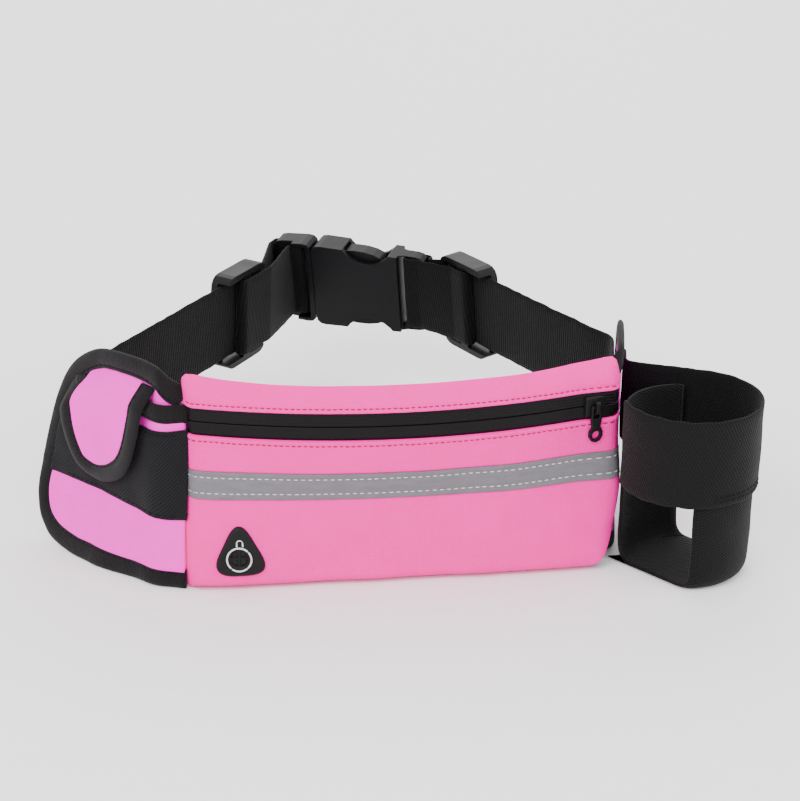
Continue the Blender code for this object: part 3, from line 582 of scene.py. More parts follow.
def webbing_material(name, dark, light, period, slant, sheen=0.05, distance=0.22):
    """Elastic webbing: ribs across it, slanted a little, broken by the cords along it."""
    made, tree, shader = new_material(name, 0.75, Sheen_Weight=sheen, Sheen_Roughness=0.45)
    s, z, whole = fabric_coords(tree)
    drift = math_node(tree, "MULTIPLY_ADD", speckle(tree, whole, 0.08, 2.0), 2.2, s)
    diagonal = math_node(tree, "MULTIPLY_ADD", z, slant, drift)
    rib = ripple(tree, diagonal, period)
    cord = ripple(tree, z, 0.95)
    fuzz = speckle(tree, stretched(tree, whole, (1.0, 2.2, 1.0)), 1.6)
    woven = blended(tree, cord, 0.35, rib, 0.75)
    shade = blended(tree, fuzz, 0.45, woven, 0.6)
    height = math_node(tree, "MULTIPLY_ADD", fuzz, 0.35, woven)
    finish_fabric(tree, shader, dark, light, shade, height, distance)
    return made


def binding_material(name, dark, light):
    """Folded tape: fine ribs across its length and a soft nap."""
    made, tree, shader = new_material(name, 0.85, Sheen_Weight=0.08, Sheen_Roughness=0.5)
    s, width, whole = fabric_coords(tree)
    rib = ripple(tree, math_node(tree, "MULTIPLY_ADD", width, 0.25, s), 0.8)
    nap = speckle(tree, whole, 1.3, 5.0)
    shade = blended(tree, nap, 0.75, rib, 0.25)
    height = blended(tree, nap, 0.9, rib, 0.6)
    finish_fabric(tree, shader, dark, light, shade, height, 0.2)
    return made


def mesh_material(name):
    """Spacer mesh: rows of small round holes, painted darker inside as painted shade."""
    made, tree, shader = new_material(name, 0.85)
    s, z, whole = fabric_coords(tree)
    row = ripple(tree, z, 2.6)
    column = ripple(tree, math_node(tree, "MULTIPLY_ADD", z, 0.5, s), 1.9)
    hole = math_node(tree, "MULTIPLY", row, column)
    solid = math_node(tree, "SUBTRACT", 1.0, math_node(tree, "SMOOTH_MIN", hole, 0.6, 0.2))
    # painted shade: the holes take the darker colour, on top of their bump
    shade = blended(tree, speckle(tree, whole, 2.0), 0.4, solid, 0.6)
    finish_fabric(tree, shader, (0.004, 0.004, 0.005), (0.035, 0.035, 0.038), shade, solid, 0.6)
    return made


def coated_material(name):
    """Water-resistant zipper tape: smooth film over fine ridges."""
    made, tree, shader = new_material(name, 0.38, specular=0.10)
    _, z, whole = fabric_coords(tree)
    ridge = ripple(tree, z, 1.35)
    grain = speckle(tree, stretched(tree, whole, (0.5, 1.0, 1.0)), 1.4)
    height = math_node(tree, "MULTIPLY_ADD", grain, 0.35, ridge)
    finish_fabric(tree, shader, (0.002, 0.0018, 0.002), (0.008, 0.0068, 0.0078), grain, height, 0.16)
    return made


def reflective_material(name):
    """Silver-grey tape of tiny glass beads, with faint wear."""
    made, tree, shader = new_material(name, 0.45, specular=0.2, Metallic=0.1)
    whole = fabric_coords(tree)[2]
    bead = add(tree, "TexVoronoi", Vector=whole, Scale=2.2).outputs["Distance"]
    wear = speckle(tree, stretched(tree, whole, (0.25, 1.0, 1.0)), 0.5)
    shade = blended(tree, bead, 0.3, wear, 0.8)
    finish_fabric(tree, shader, (0.092, 0.086, 0.096), (0.172, 0.162, 0.180), shade, bead, 0.05)
    return made


def object_coords(tree):
    return add(tree, "TexCoord").outputs["Object"]


def moulded_material(name, dark, light, roughness, grain, distance):
    """Moulded plastic or rubber: spark-eroded grain and slightly polished edges."""
    made, tree, shader = new_material(name, roughness, specular=0.13)
    where = object_coords(tree)
    fine = speckle(tree, where, grain, 4.0)
    patch = speckle(tree, where, 60.0, 2.0)
    shade = blended(tree, patch, 0.6, fine, 0.4)
    colour_between(tree, shader, shade, dark, light)
    soft = add(tree, "Bevel", {"samples": 6}, Radius=0.7 * MM).outputs[0]
    bump = add(tree, "Bump", Strength=0.5, Distance=distance * MM, Height=fine, Normal=soft).outputs[0]
    tree.links.new(bump, shader.inputs["Normal"])
    rough = math_node(tree, "MULTIPLY_ADD", patch, 0.18, roughness - 0.09)
    tree.links.new(rough, shader.inputs["Roughness"])
    return made


def pile_material(name):
    made, tree, shader = new_material(name, 0.9, Sheen_Weight=0.1)
    where = object_coords(tree)
    tuft = add(tree, "TexVoronoi", Vector=where, Scale=900.0).outputs["Distance"]
    nap = speckle(tree, where, 1500.0, 3.0)
    height = math_node(tree, "MULTIPLY_ADD", nap, 0.6, tuft)
    finish_fabric(tree, shader, (0.006, 0.006, 0.007), (0.05, 0.05, 0.053), nap, height, 0.6)
    return made


def thread_material(name, dark, light):
    made, tree, shader = new_material(name, 0.7)
    where = object_coords(tree)
    twist = speckle(tree, where, 2500.0, 2.0)
    finish_fabric(tree, shader, dark, light, twist, twist, 0.1)
    return made


PINK = knit("pink_knit", (0.86, 0.002, 0.26), (1.0, 0.008, 0.39), 0.02)
WING_PINK = knit("pink_knit_wing", (0.9, 0.006, 0.46), (1.0, 0.025, 0.66), 0.02)
BACKING = mesh_material("spacer_mesh")
EDGE = binding_material("binding_tape", (0.0018, 0.0015, 0.0018), (0.014, 0.012, 0.0135))
BELT = webbing_material("belt_webbing", (0.0012, 0.0012, 0.0012), (0.006, 0.0062, 0.0062), 1.5, 0.12)
ELASTIC = webbing_material("elastic_twill", (0.0018, 0.0018, 0.002), (0.014, 0.014, 0.016), 1.6, 0.9)
HOLDER = webbing_material("holder_elastic", (0.0014, 0.0014, 0.0014), (0.009, 0.009, 0.0095), 1.4, 0.6)
COATED = coated_material("coated_tape")
REFLECTIVE = reflective_material("reflective_tape")
PLASTIC = moulded_material("buckle_acetal", (0.0028, 0.0028, 0.0033), (0.006, 0.006, 0.007),
                           0.42, 1800.0, 0.05)
RUBBER = moulded_material("port_rubber", (0.004, 0.004, 0.004), (0.010, 0.010, 0.010), 0.5, 900.0, 0.06)
RUBBER_PALE = moulded_material("port_print", (0.55, 0.55, 0.56), (0.72, 0.72, 0.73), 0.5, 900.0, 0.04)
METAL = moulded_material("zipper_enamel", (0.005, 0.005, 0.005), (0.010, 0.010, 0.010), 0.32, 1400.0, 0.03)
NYLON = moulded_material("zipper_nylon", (0.012, 0.012, 0.012), (0.024, 0.024, 0.024), 0.45, 1200.0, 0.05)
PILE = pile_material("hook_and_loop_pile")
PINK_THREAD = thread_material("pink_thread", (0.28, 0.002, 0.03), (0.45, 0.008, 0.08))
GREY_THREAD = thread_material("grey_thread", (0.5, 0.47, 0.5), (0.75, 0.72, 0.75))
BLACK_THREAD = thread_material("black_thread", (0.002, 0.002, 0.0025), (0.016, 0.015, 0.017))


# ---------------------------------------------------------------- pouch

def pucker(s, z, seam, width=5.0):
    """Small gathers beside a line of stitches, and the groove that it pulls."""
    away = abs(z - seam)
    gather = 0.22 * wave(s, seam, 3.6, 7.7) * math.exp(-away / width)
    return gather - 0.42 * math.exp(-(away / 0.9) ** 2)


LOWER_SEAM = ZIP_Z - ZIP_HALF - 2.1
UPPER_SEAM = ZIP_Z + ZIP_HALF + 2.1


def lower_relief(s, z):
    raise_lip = 0.55 * smoothstep((z - (ZIP_Z - ZIP_HALF - 4.5)) / 3.0)
    strip = -0.35 * smoothstep((6.6 - abs(z - 48.0)) / 1.2)
    return pucker(s, z, LOWER_SEAM) + raise_lip + strip


def upper_relief(s, z):
    return pucker(s, z, UPPER_SEAM) + 0.55 * smoothstep((ZIP_Z + ZIP_HALF + 4.5 - z) / 3.0)


def pouch_mid(s, z):
    return front_face(s, z) - NEOPRENE / 2


def around(level):
    return [level + d for d in (-3.2, -2.2, -1.5, -1.0, -0.6, -0.25, 0.0, 0.25, 0.6, 1.0, 1.5, 2.2, 3.2)]


def pouch():
    half = POUCH_HALF
    corner = [(half, 22), (half - 0.8, 14), (half - 3.5, 7), (half - 8, 2.5), (half - 13, 0.2)]
    foot = [(2.0 - half, 0.2), (0.6 - half, 0.9), (-half, 3.0)]
    low_edge = ZIP_Z - ZIP_HALF + 0.2
    high_edge = ZIP_Z + ZIP_HALF - 0.2
    lower = [foot[2], foot[1], foot[0]] + corner[::-1] + [(half, low_edge), (-half, low_edge)]
    make("pouch_front_lower", cloth(lower, pouch_place, pouch_mid, NEOPRENE / 2, cuts_z=around(LOWER_SEAM)
                                    + [41.2, 41.8, 42.6, 53.4, 54.2, 54.8], relief=lower_relief),
         PINK, "pink_neoprene", "pack", "pouch_front_lower_panel")
    top = [(s, top_at(s)) for s in range(90, -92, -6)]
    upper = [(-half, high_edge), (half, high_edge), (half, 91.0), (half - 0.5, 92.8), (half - 2.0, 94.3)]
    upper += top + [(2.0 - half, 94.3), (0.5 - half, 92.8), (-half, 91.0)]
    make("pouch_front_upper", cloth(upper, pouch_place, pouch_mid, NEOPRENE / 2, cuts_z=around(UPPER_SEAM),
                                    relief=upper_relief, step=2.2),
         PINK, "pink_neoprene", "pack", "pouch_front_upper_panel")
    back = [foot[2], foot[1], foot[0]] + corner[::-1] + [(s, z - 1.6) for s, z in upper[2:]]
    make("pouch_back", cloth(back, pouch_place, -NEOPRENE / 2 + 0.15, NEOPRENE / 2, step=3.5),
         BACKING, "black_mesh", "pack", "pouch_back_panel")
    threads = bmesh.new()
    for seam, relief in ((LOWER_SEAM, lower_relief), (UPPER_SEAM, upper_relief)):
        sew(threads, row(2.5 - half, half - 2.5, seam, 60), pouch_place,
            lambda s, z, f=relief: front_face(s, z) + f(s, z) + 0.12, 2.5, 1.8, 0.24)
    make("zipper_stitching", threads, PINK_THREAD, "pink_neoprene", "pack")
    zipper()
    reflective_strip()
    headphone_port()


def zipper():
    reach = POUCH_HALF - 0.7
    for side, low, high in (("lower", ZIP_Z - ZIP_HALF - 1.0, ZIP_Z - SLIT / 2 + 0.58),
                            ("upper", ZIP_Z + SLIT / 2 - 0.58, ZIP_Z + ZIP_HALF + 1.0)):
        outline = [(-reach, low), (reach, low), (reach, high), (-reach, high)]
        lip = high if side == "lower" else low

        def relief(s, z, lip=lip):
            near = abs(z - lip)
            return 0.10 * math.cos(2 * math.pi * near / 1.35) - 0.45 * smoothstep((near - 5.0) / 1.0)

        def middle(s, z):
            return front_face(s, z) - 0.6 - 0.65

        cuts = [low + 0.34 * k for k in range(1, int((high - low) / 0.34))]
        make(f"zipper_{side}_tape", cloth(outline, pouch_place, middle, 0.55, cuts_z=cuts, relief=relief,
                                          edge=0.5, step=2.5),
             COATED, "zipper_tape", "pack", f"zipper_tape_{side}")


def reflective_strip():
    reach = POUCH_HALF - 0.4

    def middle(s, z):
        return front_face(s, z) + 0.15

    outline = [(-reach, STRIP_LOW), (reach, STRIP_LOW), (reach, STRIP_HIGH), (-reach, STRIP_HIGH)]
    lines = (STRIP_LOW + 2.6, STRIP_HIGH - 2.6)

    def relief(s, z):
        groove = sum(-0.22 * math.exp(-((z - line) / 0.6) ** 2) for line in lines)
        return groove + 0.10 * wave(s, z, 4.0, 3.3)

    cuts = [line + d for line in lines for d in (-0.9, -0.45, 0.0, 0.45, 0.9)]
    make("reflective_tape", cloth(outline, pouch_place, middle, 0.32, cuts_z=cuts, relief=relief, edge=0.3),
         REFLECTIVE, "reflective_grey", "pack", "reflective_strip")
    threads = bmesh.new()
    for line in lines:
        sew(threads, row(1 - reach, reach - 1, line, 60), pouch_place,
            lambda s, z: middle(s, z) + 0.34 + relief(s, z), pitch=3.1)
    make("reflective_stitching", threads, GREY_THREAD, "reflective_grey", "pack")


def ring_points(s0, z0, radius, start, end, count):
    steps = (start + (end - start) * k / count for k in range(count + 1))
    return [Vector((s0, z0)) + Vector(turned(radius, 0, degrees)) for degrees in steps]


def headphone_port():
    s0, z0 = PORT_AT
    corners = [(s0 + 0.5, z0 + 17.0), (s0 + 14.8, z0 - 10.6), (s0 - 13.8, z0 - 10.6)]
    outline = rounded(corners, 11.5, 9)

    def middle(s, z):
        return front_face(s, z) + 0.3

    def relief(s, z):
        away = math.hypot(s - s0, z - (z0 - 2.6))
        edge = min(rim_distance(Vector((s, z)), a, b) for a, b in zip(outline, outline[1:] + outline[:1]))
        border = 0.45 * math.exp(-((edge - 1.7) / 0.7) ** 2)
        return border - 1.0 * smoothstep((4.4 - away) / 0.5)

    make("port_patch", cloth(outline, pouch_place, middle, 1.0, relief=relief, edge=0.9, step=0.8),
         RUBBER, "black_rubber", "pack", "headphone_port")
    centre = (s0, z0 - 2.6)
    rings = bmesh.new()

    def thread(points, radius, depth):
        place = [Vector(world(pouch_place(*p, middle(*p) + depth))) for p in points]
        tube_into(rings, place, [radius * MM] * len(place), 8)

    thread(ring_points(*centre, 5.3, 0, 359, 48), 0.38, 1.05)
    thread(ring_points(centre[0] + 0.6, centre[1] + 7.4, 1.3, -25, 205, 18), 0.26, 1.05)
    for side in (-1, 1):
        at = Vector((centre[0] + 0.6 + side * 1.3, centre[1] + 6.9))
        thread([at, at - Vector((0, 1.0))], 0.36, 1.05)
    make("port_ring", rings, RUBBER_PALE, "black_rubber", "pack")
    petals = bmesh.new()
    for k in range(4):
        start = 90 * k + 8
        tip = Vector(centre) + Vector(turned(0.7, 0, start + 37))
        flat = [tip] + ring_points(*centre, 4.1, start, start + 74, 8)
        over, under = ([petals.verts.new(world(pouch_place(*p, middle(*p) + depth))) for p in flat]
                       for depth in (0.15, -0.6))
        petals.faces.new(over)
        petals.faces.new(under[::-1])
        for i in range(len(flat)):
            j = (i + 1) % len(flat)
            petals.faces.new((over[j], over[i], under[i], under[j]))
    bmesh.ops.recalc_face_normals(petals, faces=petals.faces)
    make("port_petals", petals, RUBBER, "black_rubber", "pack")


# ---------------------------------------------------------------- left wing

def clipped(outline, axis, limit, keep_below):
    """The part of an outline on one side of a straight cut."""
    kept = []
    for a, b in zip(outline, outline[1:] + outline[:1]):
        a_in = (a[axis] <= limit) == keep_below
        b_in = (b[axis] <= limit) == keep_below
        if a_in:
            kept.append(a)
        if a_in != b_in:
            kept.append(a.lerp(b, (limit - a[axis]) / (b[axis] - a[axis])))
    return kept


def left_wing():
    edge = catmull([(-4.0, 87.5)] + WING_EDGE[:-1] + [(-3.0, 0)], 2.0)
    make("left_edge_tape", binding(edge, 1, left_place), EDGE, "black_binding", "pack", "left_wing_binding")
    core = offset(edge, BINDING - 0.9)
    core[0].x = core[-1].x = -2.8
    make("left_back_cloth", cloth(core, left_place, 0.7, 0.9, step=3.0), WING_PINK, "pink_neoprene", "pack",
         "left_wing_panel")
    pocket = clipped(core, 1, 74.6, True)

    def pocket_relief(s, z):
        return 0.5 * smoothstep((z - 12) / 14) + 0.25 * wave(s, z, 14.0, 2.9)

    make("pocket_cloth", cloth(pocket, left_place, 2.2, 0.9, relief=pocket_relief, step=2.6), WING_PINK,
         "pink_neoprene", "pack", "left_pocket_panel")
    mouth = catmull([(-4.0, 81.4), (10, 82.2), (24, 82.8), (40, 83.0), (56, 82.8), (62, 81.4)], 2.0)
    mouth_profile = [(8.2, 2.6), (8.0, 3.5), (7.2, 4.0), (6.6, 3.85), (6.0, 4.05), (4.0, 4.5), (2.0, 4.4),
                     (0.6, 3.9), (0.0, 3.1), (0.4, 2.3), (2.0, 1.9), (7.8, 1.9)]
    make("pocket_mouth_tape", binding(mouth, 1, left_place, profile=mouth_profile), EDGE,
         "black_binding", "pack", "left_pocket_binding")
    core[0].x = core[-1].x = -4.0
    band = clipped(clipped(core, 1, 70.6, True), 1, 31.6, False)

    def band_relief(s, z):
        return 0.25 * wave(s, z, 11.0, 6.1) - 0.25 * smoothstep((33.6 - z) / 1.0)

    make("pocket_elastic", cloth(band, left_place, 4.0, 0.6, relief=band_relief, step=2.6), ELASTIC,
         "black_webbing", "pack", "left_elastic_band")
    threads = bmesh.new()
    sew(threads, offset(edge, 6.9), left_place, lambda s, z: 2.85)
    sew(threads, offset(mouth, 6.6), left_place, lambda s, z: 4.0)
    for level in (33.4, 69.0):
        sew(threads, row(0, 72, level, 24), left_place, lambda s, z: 4.75)
    make("left_wing_stitching", threads, BLACK_THREAD, "black_binding", "pack")
    patch = rounded([(30, 47), (30, 60), (54, 60), (54, 47)], 3.0, 3)
    make("loop_pile", cloth(patch, left_place, 5.1, 0.3, edge=0.3), PILE, "hook_and_loop", "pack",
         "pocket_loop_patch")
    flap(patch)


def wing_top(s):
    """Height of the wing's upper edge."""
    points = [(-5, 86), *WING_EDGE[1:10]]
    for (a, low), (b, high) in zip(points, points[1:]):
        if s <= b:
            return low + (high - low) * (s - a) / (b - a)
    return points[-1][1]


def flap_base(s, z):
    """The flap lies on the pocket, bellies out over it, and tucks under the tape at its top."""
    tuck = smoothstep((z - wing_top(s) + 19.0) / 12.5)
    belly = math.sin(math.pi * min(max((z - 38.0) / 50.0, 0.0), 1.0))
    return 6.7 - 6.6 * tuck + 1.1 * belly * (1 - tuck)


def flap(patch):
    edge = catmull([(12.6, 88.0)] + FLAP_EDGE[1:], 1.8)
    top = Vector(world(left_place(40, 87.0, 4.0)))
    low = Vector(world(left_place(40, 76.0, 7.0)))

    def drape(obj):
        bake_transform(obj)

    profile = [(8.5, 0.6), (8.3, 1.5), (7.6, 1.95), (7.0, 1.75), (6.4, 1.95), (5.0, 2.35), (3.6, 2.5),
               (1.9, 2.2), (0.6, 1.7), (0.0, 1.0), (0.6, 0.25), (2.0, 0.0), (6.5, 0.0), (8.3, 0.1)]
    drape(make("flap_edge_tape", binding(edge, -1, left_place, flap_base, profile), EDGE, "black_binding",
               None, "flap_binding"))
    core = offset(edge, -(BINDING - 0.9))
    core += [Vector(p) for p in ((52.0, 88.0), (38.0, 90.0), (22.0, 90.0))]

    def crown(s, z):
        return 0.35 * wave(s, z, 13.0, 8.8)

    panel = cloth(core, left_place, lambda s, z: flap_base(s, z) + 1.15, 0.85, relief=crown, step=2.2)
    drape(make("flap_cloth", panel, WING_PINK, "pink_neoprene", None, "flap_panel"))
    threads = bmesh.new()
    sew(threads, offset(edge, -7.0), left_place, lambda s, z: flap_base(s, z) + 1.95)
    drape(make("flap_stitching", threads, BLACK_THREAD, "black_binding", None))
    make("hook_pile", cloth(patch, left_place, lambda s, z: flap_base(s, z) - 0.25, 0.3, edge=0.3), PILE,
         "hook_and_loop", "pocket_flap", "flap_hook_patch")


# ---------------------------------------------------------------- right wing and bottle holder

def right_wing():
    edge = catmull([(-1.5, 88.0)] + RIGHT_EDGE[:-1] + [(-1.5, 0)], 2.0)
    profile = [(w, d * 0.8) for w, d in BIND_PROFILE]
    make("right_edge_tape", binding(edge, 1, right_place, profile=profile), EDGE, "black_binding", "pack",
         "right_wing_binding")
    core = offset(edge, BINDING - 0.9)
    core[0].x = core[-1].x = -1.5
    make("right_back_cloth", cloth(core, right_place, 0.9, 0.9, step=3.0), WING_PINK, "pink_neoprene",
         "pack", "right_wing_panel")
    threads = bmesh.new()
    sew(threads, offset(edge, 6.9), right_place, lambda s, z: 2.3)
    make("right_wing_stitching", threads, BLACK_THREAD, "black_binding", "pack")


def upright(plan):
    return (plan.x, plan.y, 0.0, 0.0)


def bottle_holder():
    cradle_outer = HOLDER_RADIUS + WEB_THICK
    radius = cradle_outer + GAP + WEB_THICK / 2
    sewn = Vector(right_place(BAND_SEWN_AT, 0, 2.6 + GAP + WEB_THICK / 2)[:2])
    away = sewn - BOTTLE_AT
    tangent = math.atan2(away.y, away.x) - math.acos(radius / away.length)
    start, end = math.radians(184), tangent + 2 * math.pi
    count = 100
    ring = []
    for k in range(count + 1):
        angle = start + (end - start) * k / count
        ring.append(upright(BOTTLE_AT + Vector((math.cos(angle), math.sin(angle))) * radius))
    tail = Vector(right_place(BAND_SEWN_AT + 14, 0, 2.6 + GAP + WEB_THICK / 2)[:2])
    route = Route(ring + filleted([ring[-1], upright(sewn), upright(tail)], 6)[1:], -1)
    make("bottle_elastic", ribbon(route, BAND_LOW, BAND_HIGH, 3.1, 2.0, sway=0.5), HOLDER, "black_webbing",
         "pack", "bottle_band")
    cradle_strap()


def cradle_strap():
    """Up one side, under the bottle, and up the other; curved at the sides and flat below."""
    out = Vector(turned(1, 0, CRADLE_FACES))
    across = Vector((-out.y, out.x))
    half, full = WEB_WIDTH / 2, HOLDER_RADIUS
    profile = [(full, 74, 1, 0), (full, 42, 1, 0), (full, 10, 1, 0), (full - 0.25, 7, 0.98, -0.15),
               (full - 0.7, 5, 0.94, -0.34), (full - 1.5, 3.4, 0.82, -0.57), (full - 2.8, 2.2, 0.6, -0.8),
               (full - 4.4, 1.55, 0.3, -0.95), (full - 6.5, WEB_THICK, 0, -1)]
    chain = []
    for (a, b) in zip(profile, profile[1:]):
        count = max(1, round((Vector(b[:2]) - Vector(a[:2])).length / 3.0))
        chain += [tuple(p + (q - p) * k / count for p, q in zip(a, b)) for k in range(count)]
    chain.append(profile[-1])
    floor_count = 14
    sides = [(1, station) for station in chain]
    inner_reach = chain[-1][0]
    sides += [(1, (inner_reach * (1 - 2 * k / floor_count), WEB_THICK, 0, -1))
              for k in range(1, floor_count)]
    sides += [(-1, station) for station in chain[::-1]]
    rings, coords = [], []
    along = 0.0
    last = None
    for side, (reach, level, out_part, up_part) in sides:
        here = Vector((side * reach, level))
        along += (here - last).length if last else 0.0
        last = here
        front, back, front_values, back_values = [], [], [], []
        for k in range(17):
            w = half * (k / 8 - 1)
            dip = full - math.sqrt(full ** 2 - w ** 2)
            soft = min((half - abs(w)) / 0.6, 1.0)
            thick = WEB_THICK * (0.35 + 0.65 * soft)
            sway = 0.18 * wave(along, w, 9.0, 4.4) * (1 if level > 8 else 0)
            fade = min(1.0, abs(reach) / (full - 6.5))
            near = BOTTLE_AT + out * side * (reach - dip * fade + sway) + across * w
            far = near + out * side * thick * out_part
            back.append((near.x, near.y, level))
            front.append((far.x, far.y, max(level + thick * up_part, 0.02)))
            front_values.append((along, w, 1.0))
            back_values.append((along, w, 2.0))
        rings.append(back + front[::-1])
        coords.append(back_values + front_values[::-1])
    make("cradle_elastic", swept(rings, coords), HOLDER, "black_webbing", "pack", "bottle_cradle_strap")
    threads = bmesh.new()
    radius = HOLDER_RADIUS + 2 * WEB_THICK + GAP

    def on_band(w, z, depth):
        angle = math.radians(CRADLE_FACES) + w / radius
        spot = BOTTLE_AT + Vector((math.cos(angle), math.sin(angle))) * (radius + depth)
        return (spot.x, spot.y, z)

    for level in (BAND_LOW + 2.4, BAND_LOW + 4.6):
        sew(threads, row(2 - half, half - 2, level, 20), on_band, lambda s, z: 0.15, radius=0.22)
    make("holder_stitching", threads, BLACK_THREAD, "black_webbing", "pack")


# ---------------------------------------------------------------- belt

def buckle_tilt():
    return Vector(turned(0, -1, BUCKLE_TURN)) * math.tan(math.radians(BUCKLE_LEAN))


def in_buckle(x, y):
    dx, dy = turned(x, y, BUCKLE_TURN)
    tilt = buckle_tilt()
    return (BUCKLE_AT[0] + dx, BUCKLE_AT[1] + dy, tilt.x, tilt.y)


class StrapLine:
    """The straight run of one side's webbing; along it, and outwards from it, in plan."""

    def __init__(self, through, heading, outward_side, lean):
        self.through = Vector(through)
        self.heading = heading
        self.outward_side = outward_side
        self.tilt = Vector(turned(0, -outward_side, heading)) * math.tan(math.radians(lean))

    def at(self, along, outwards=0.0, twist=0.0):
        plan = self.through + Vector(turned(along, self.outward_side * outwards, self.heading))
        tilt = self.tilt.lerp(buckle_tilt(), twist)
        return (plan.x, plan.y, tilt.x, tilt.y)

    def span(self, *alongs):
        """Points in metres on the line, at mid height."""
        return [world((*self.at(along)[:2], BELT_Z)) for along in alongs]


def sewn_at(place, s, depth):
    """A belt point on a wing, with the wing's lean for each mm of height."""
    here = Vector(place(s, BELT_Z, depth))
    above = Vector(place(s, BELT_Z + 1, depth))
    return (here.x, here.y, above.x - here.x, above.y - here.y)


def meeting(near, far, line):
    """Where the run from near towards far crosses the strap's line, in plan."""
    ahead = Vector(far[:2]) - Vector(near[:2])
    run = Vector(turned(1, 0, line.heading))
    gap = line.through - Vector(near[:2])
    plan = Vector(near[:2]) + ahead * (gap.cross(run) / ahead.cross(run))
    return (plan.x, plan.y, *line.tilt)


def wrapped_tail(line, slider_at, end_at):
    """The webbing's free end: round the slider's bar and back under itself."""
    turn_at = slider_at - 4.8
    return [line.at(slider_at + 6, -6.7), line.at(turn_at, -6.7), line.at(turn_at, -1.75),
            line.at(slider_at + 4, -1.75), line.at(end_at, -2.6)]


def webbing(name, node, points, outward, seed, body):
    route = Route(points, outward)
    low, high = BELT_Z - WEB_WIDTH / 2, BELT_Z + WEB_WIDTH / 2
    return make(name, ribbon(route, low, high, seed), BELT, "black_webbing", body, node), route


def cross_stitches(name, route, s, body):
    """Two rows of stitches across the webbing, where its end is sewn."""
    threads = bmesh.new()

    def place(up, ahead, depth):
        here = route.at(s + ahead)
        plan = here.xy + route.side(s + ahead, 0.7) * depth + here.zw * (up - BELT_Z)
        return (plan.x, plan.y, up)

    for shift in (0.0, 2.2):
        path = row(BELT_Z - WEB_WIDTH / 2 + 1.5, BELT_Z + WEB_WIDTH / 2 - 1.5, shift, 20)
        sew(threads, path, place, lambda a, b: WEB_THICK / 2 + 0.12, 2.6, 1.9, 0.22)
    return make(name, threads, BLACK_THREAD, "black_webbing", body)


def left_belt():
    line = StrapLine(*LEFT_LINE)
    near, far = (sewn_at(left_place, s, -2.0) for s in (44, 58))
    corner = meeting(near, far, line)
    first = filleted([near, corner, line.at(LEFT_SLIDER_AT + 20)], 10.0)
    end = -MALE_LENGTH - 1.5
    rest = filleted([line.at(LEFT_SLIDER_AT + 20), line.at(139, 0, 0.9), in_buckle(end, -4.0),
                     in_buckle(end, 4.2), in_buckle(-5.8, 4.2), in_buckle(-5.8, 1.2)], 2.2, 0.7)
    strap, _ = webbing("left_webbing", "left_strap", first[:-1] + rest, 1, 0.4, None)
    start, end = line.span(10, 60)
    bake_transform(strap)
    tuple(start)
    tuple(end)
    tail = [in_buckle(-5.8, 0.4), in_buckle(-5.8, -4.3), in_buckle(-13, -4.4),
            line.at(LEFT_SLIDER_AT + 20, -6.7)]
    tail += wrapped_tail(line, LEFT_SLIDER_AT, LEFT_SLIDER_AT + 18)
    tail_piece, route = webbing("left_webbing_tail", "left_strap_tail", filleted(tail, 2.2, 0.7), -1, 1.4,
                                None)
    start, end = line.span(LEFT_SLIDER_AT + 19, LEFT_SLIDER_AT + 8)
    stitches = cross_stitches("left_tail_stitching", route, 27.0, None)
    for piece in (tail_piece, stitches):
        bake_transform(piece)
        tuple(start)
        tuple(end)


def right_belt():
    line = StrapLine(*RIGHT_LINE)
    near, corner = (sewn_at(right_place, s, -1.7) for s in (24, 63.7))
    first = filleted([near, corner, line.at(22)], 14.0)
    slot_at = FEMALE_BODY + 4
    end = FEMALE_LENGTH + 1.7
    rest = filleted([line.at(RIGHT_SLIDER_AT + 17), in_buckle(end, -1.5), in_buckle(end, 4.7),
                     in_buckle(slot_at, 4.7), in_buckle(slot_at, 1.2)], 2.2, 0.7)
    webbing("right_webbing", "right_strap", first + rest, -1, 2.4, "pack")
    tail = [in_buckle(slot_at, 0.4), in_buckle(slot_at, -4.9), in_buckle(slot_at + 8, -4.9)]
    tail += wrapped_tail(line, RIGHT_SLIDER_AT, RIGHT_SLIDER_AT + 14)
    tail_piece, route = webbing("right_webbing_tail", "right_strap_tail", filleted(tail, 2.2, 0.7), 1, 3.4,
                                None)
    start, end = line.span(RIGHT_SLIDER_AT + 17, RIGHT_SLIDER_AT + 7)
    stitches = cross_stitches("right_tail_stitching", route, 14.0, None)
    for piece in (tail_piece, stitches):
        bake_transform(piece)
        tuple(start)
        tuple(end)


# ---------------------------------------------------------------- hard pieces, stage, light and camera

def hard_pieces():
    wear = ((PLASTIC, ("buckle_female", "buckle_male", "latch_arm_upper", "latch_arm_lower", "left_slider",
                       "right_slider")),
            (METAL, ("zipper_slider", "zipper_pull", "zipper_stop_left", "zipper_stop_right")),
            (NYLON, ("zipper_coil_lower", "zipper_coil_upper")))
    for material, names in wear:
        for name in names:
            mesh = frame["nodes"][name].data
            mesh.materials.clear()
            mesh.materials.append(material)


FLOOR_HALF = 3.0
SKY_STRENGTH = 1.9
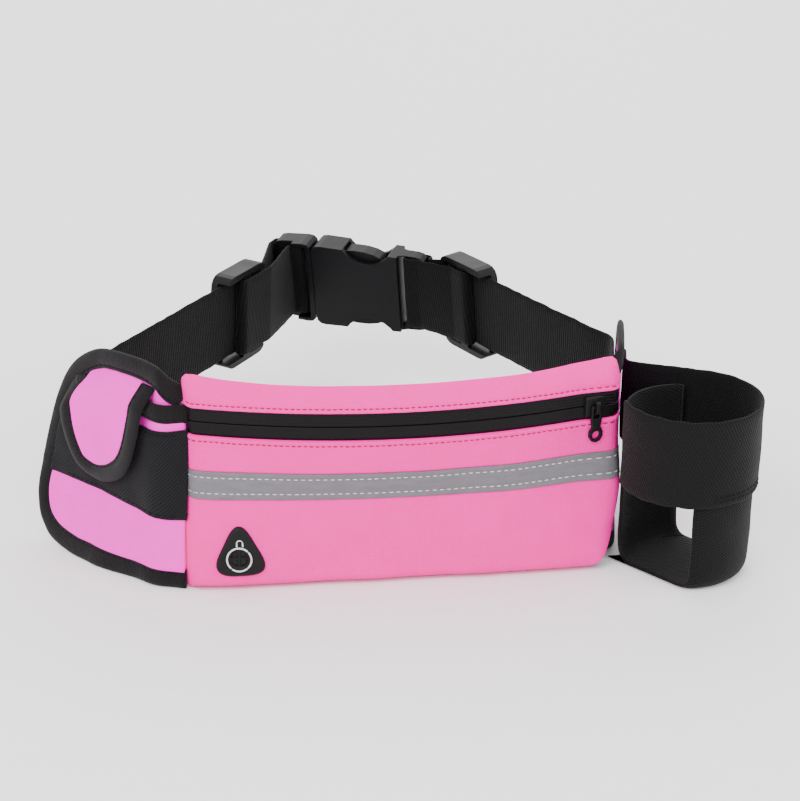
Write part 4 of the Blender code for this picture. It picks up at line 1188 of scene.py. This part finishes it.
# name, place in metres, watts, size in metres
LAMPS = (("key", (-0.9, -1.3, 1.5), 30.0, 1.2), ("fill", (1.3, -0.9, 0.9), 8.0, 1.2),
         ("rim", (0.3, 1.4, 1.3), 14.0, 1.6))


def stage_and_light():
    floor_mesh = bpy.data.meshes.new("floor")
    corners = [(x * FLOOR_HALF, y * FLOOR_HALF, 0) for x, y in ((-1, -1), (1, -1), (1, 1), (-1, 1))]
    floor_mesh.from_pydata(corners, [], [(0, 1, 2, 3)])
    floor = bpy.data.objects.new("floor", floor_mesh)
    bpy.context.scene.collection.objects.link(floor)
    pale, tree, shader = new_material("pale_floor", 0.9)
    where = object_coords(tree)
    finish_fabric(tree, shader, (0.90, 0.90, 0.90), (0.93, 0.93, 0.93), speckle(tree, where, 40.0),
                  speckle(tree, where, 300.0), 0.02, 0.2)
    floor_mesh.materials.append(pale)
    sky = bpy.data.worlds.new("studio")
    bpy.context.scene.world = sky
    sky.use_nodes = True
    backdrop = sky.node_tree.nodes["Background"]
    backdrop.inputs["Color"].default_value = (1, 1, 1, 1)
    backdrop.inputs["Strength"].default_value = SKY_STRENGTH
    for name, spot, power, size in LAMPS:
        light = bpy.data.lights.new(name, "AREA")
        light.energy = power
        light.size = size
        lamp = bpy.data.objects.new(name, light)
        bpy.context.scene.collection.objects.link(lamp)
        lamp.location = spot
        lamp.rotation_euler = (Vector((0, 0, 0.05)) - Vector(spot)).to_track_quat("-Z", "Y").to_euler()


def camera():
    """The picture's viewing angle: a little to the left, and 24 degrees above."""
    lens = bpy.data.cameras.new("camera")
    lens.lens = 84.06
    lens.sensor_width = 36.0
    lens.shift_x = 0.006
    lens.shift_y = 0.037
    view = bpy.data.objects.new("camera", lens)
    bpy.context.scene.collection.objects.link(view)
    target = Vector(world((0, 0, 45)))
    view.location = Vector(world((-87.9, -771.5, 390.7)))
    view.rotation_euler = (target - view.location).to_track_quat("-Z", "Y").to_euler()
    bpy.context.scene.camera = view


camera()
pouch()
left_wing()
right_wing()
bottle_holder()
left_belt()
right_belt()
hard_pieces()
stage_and_light()
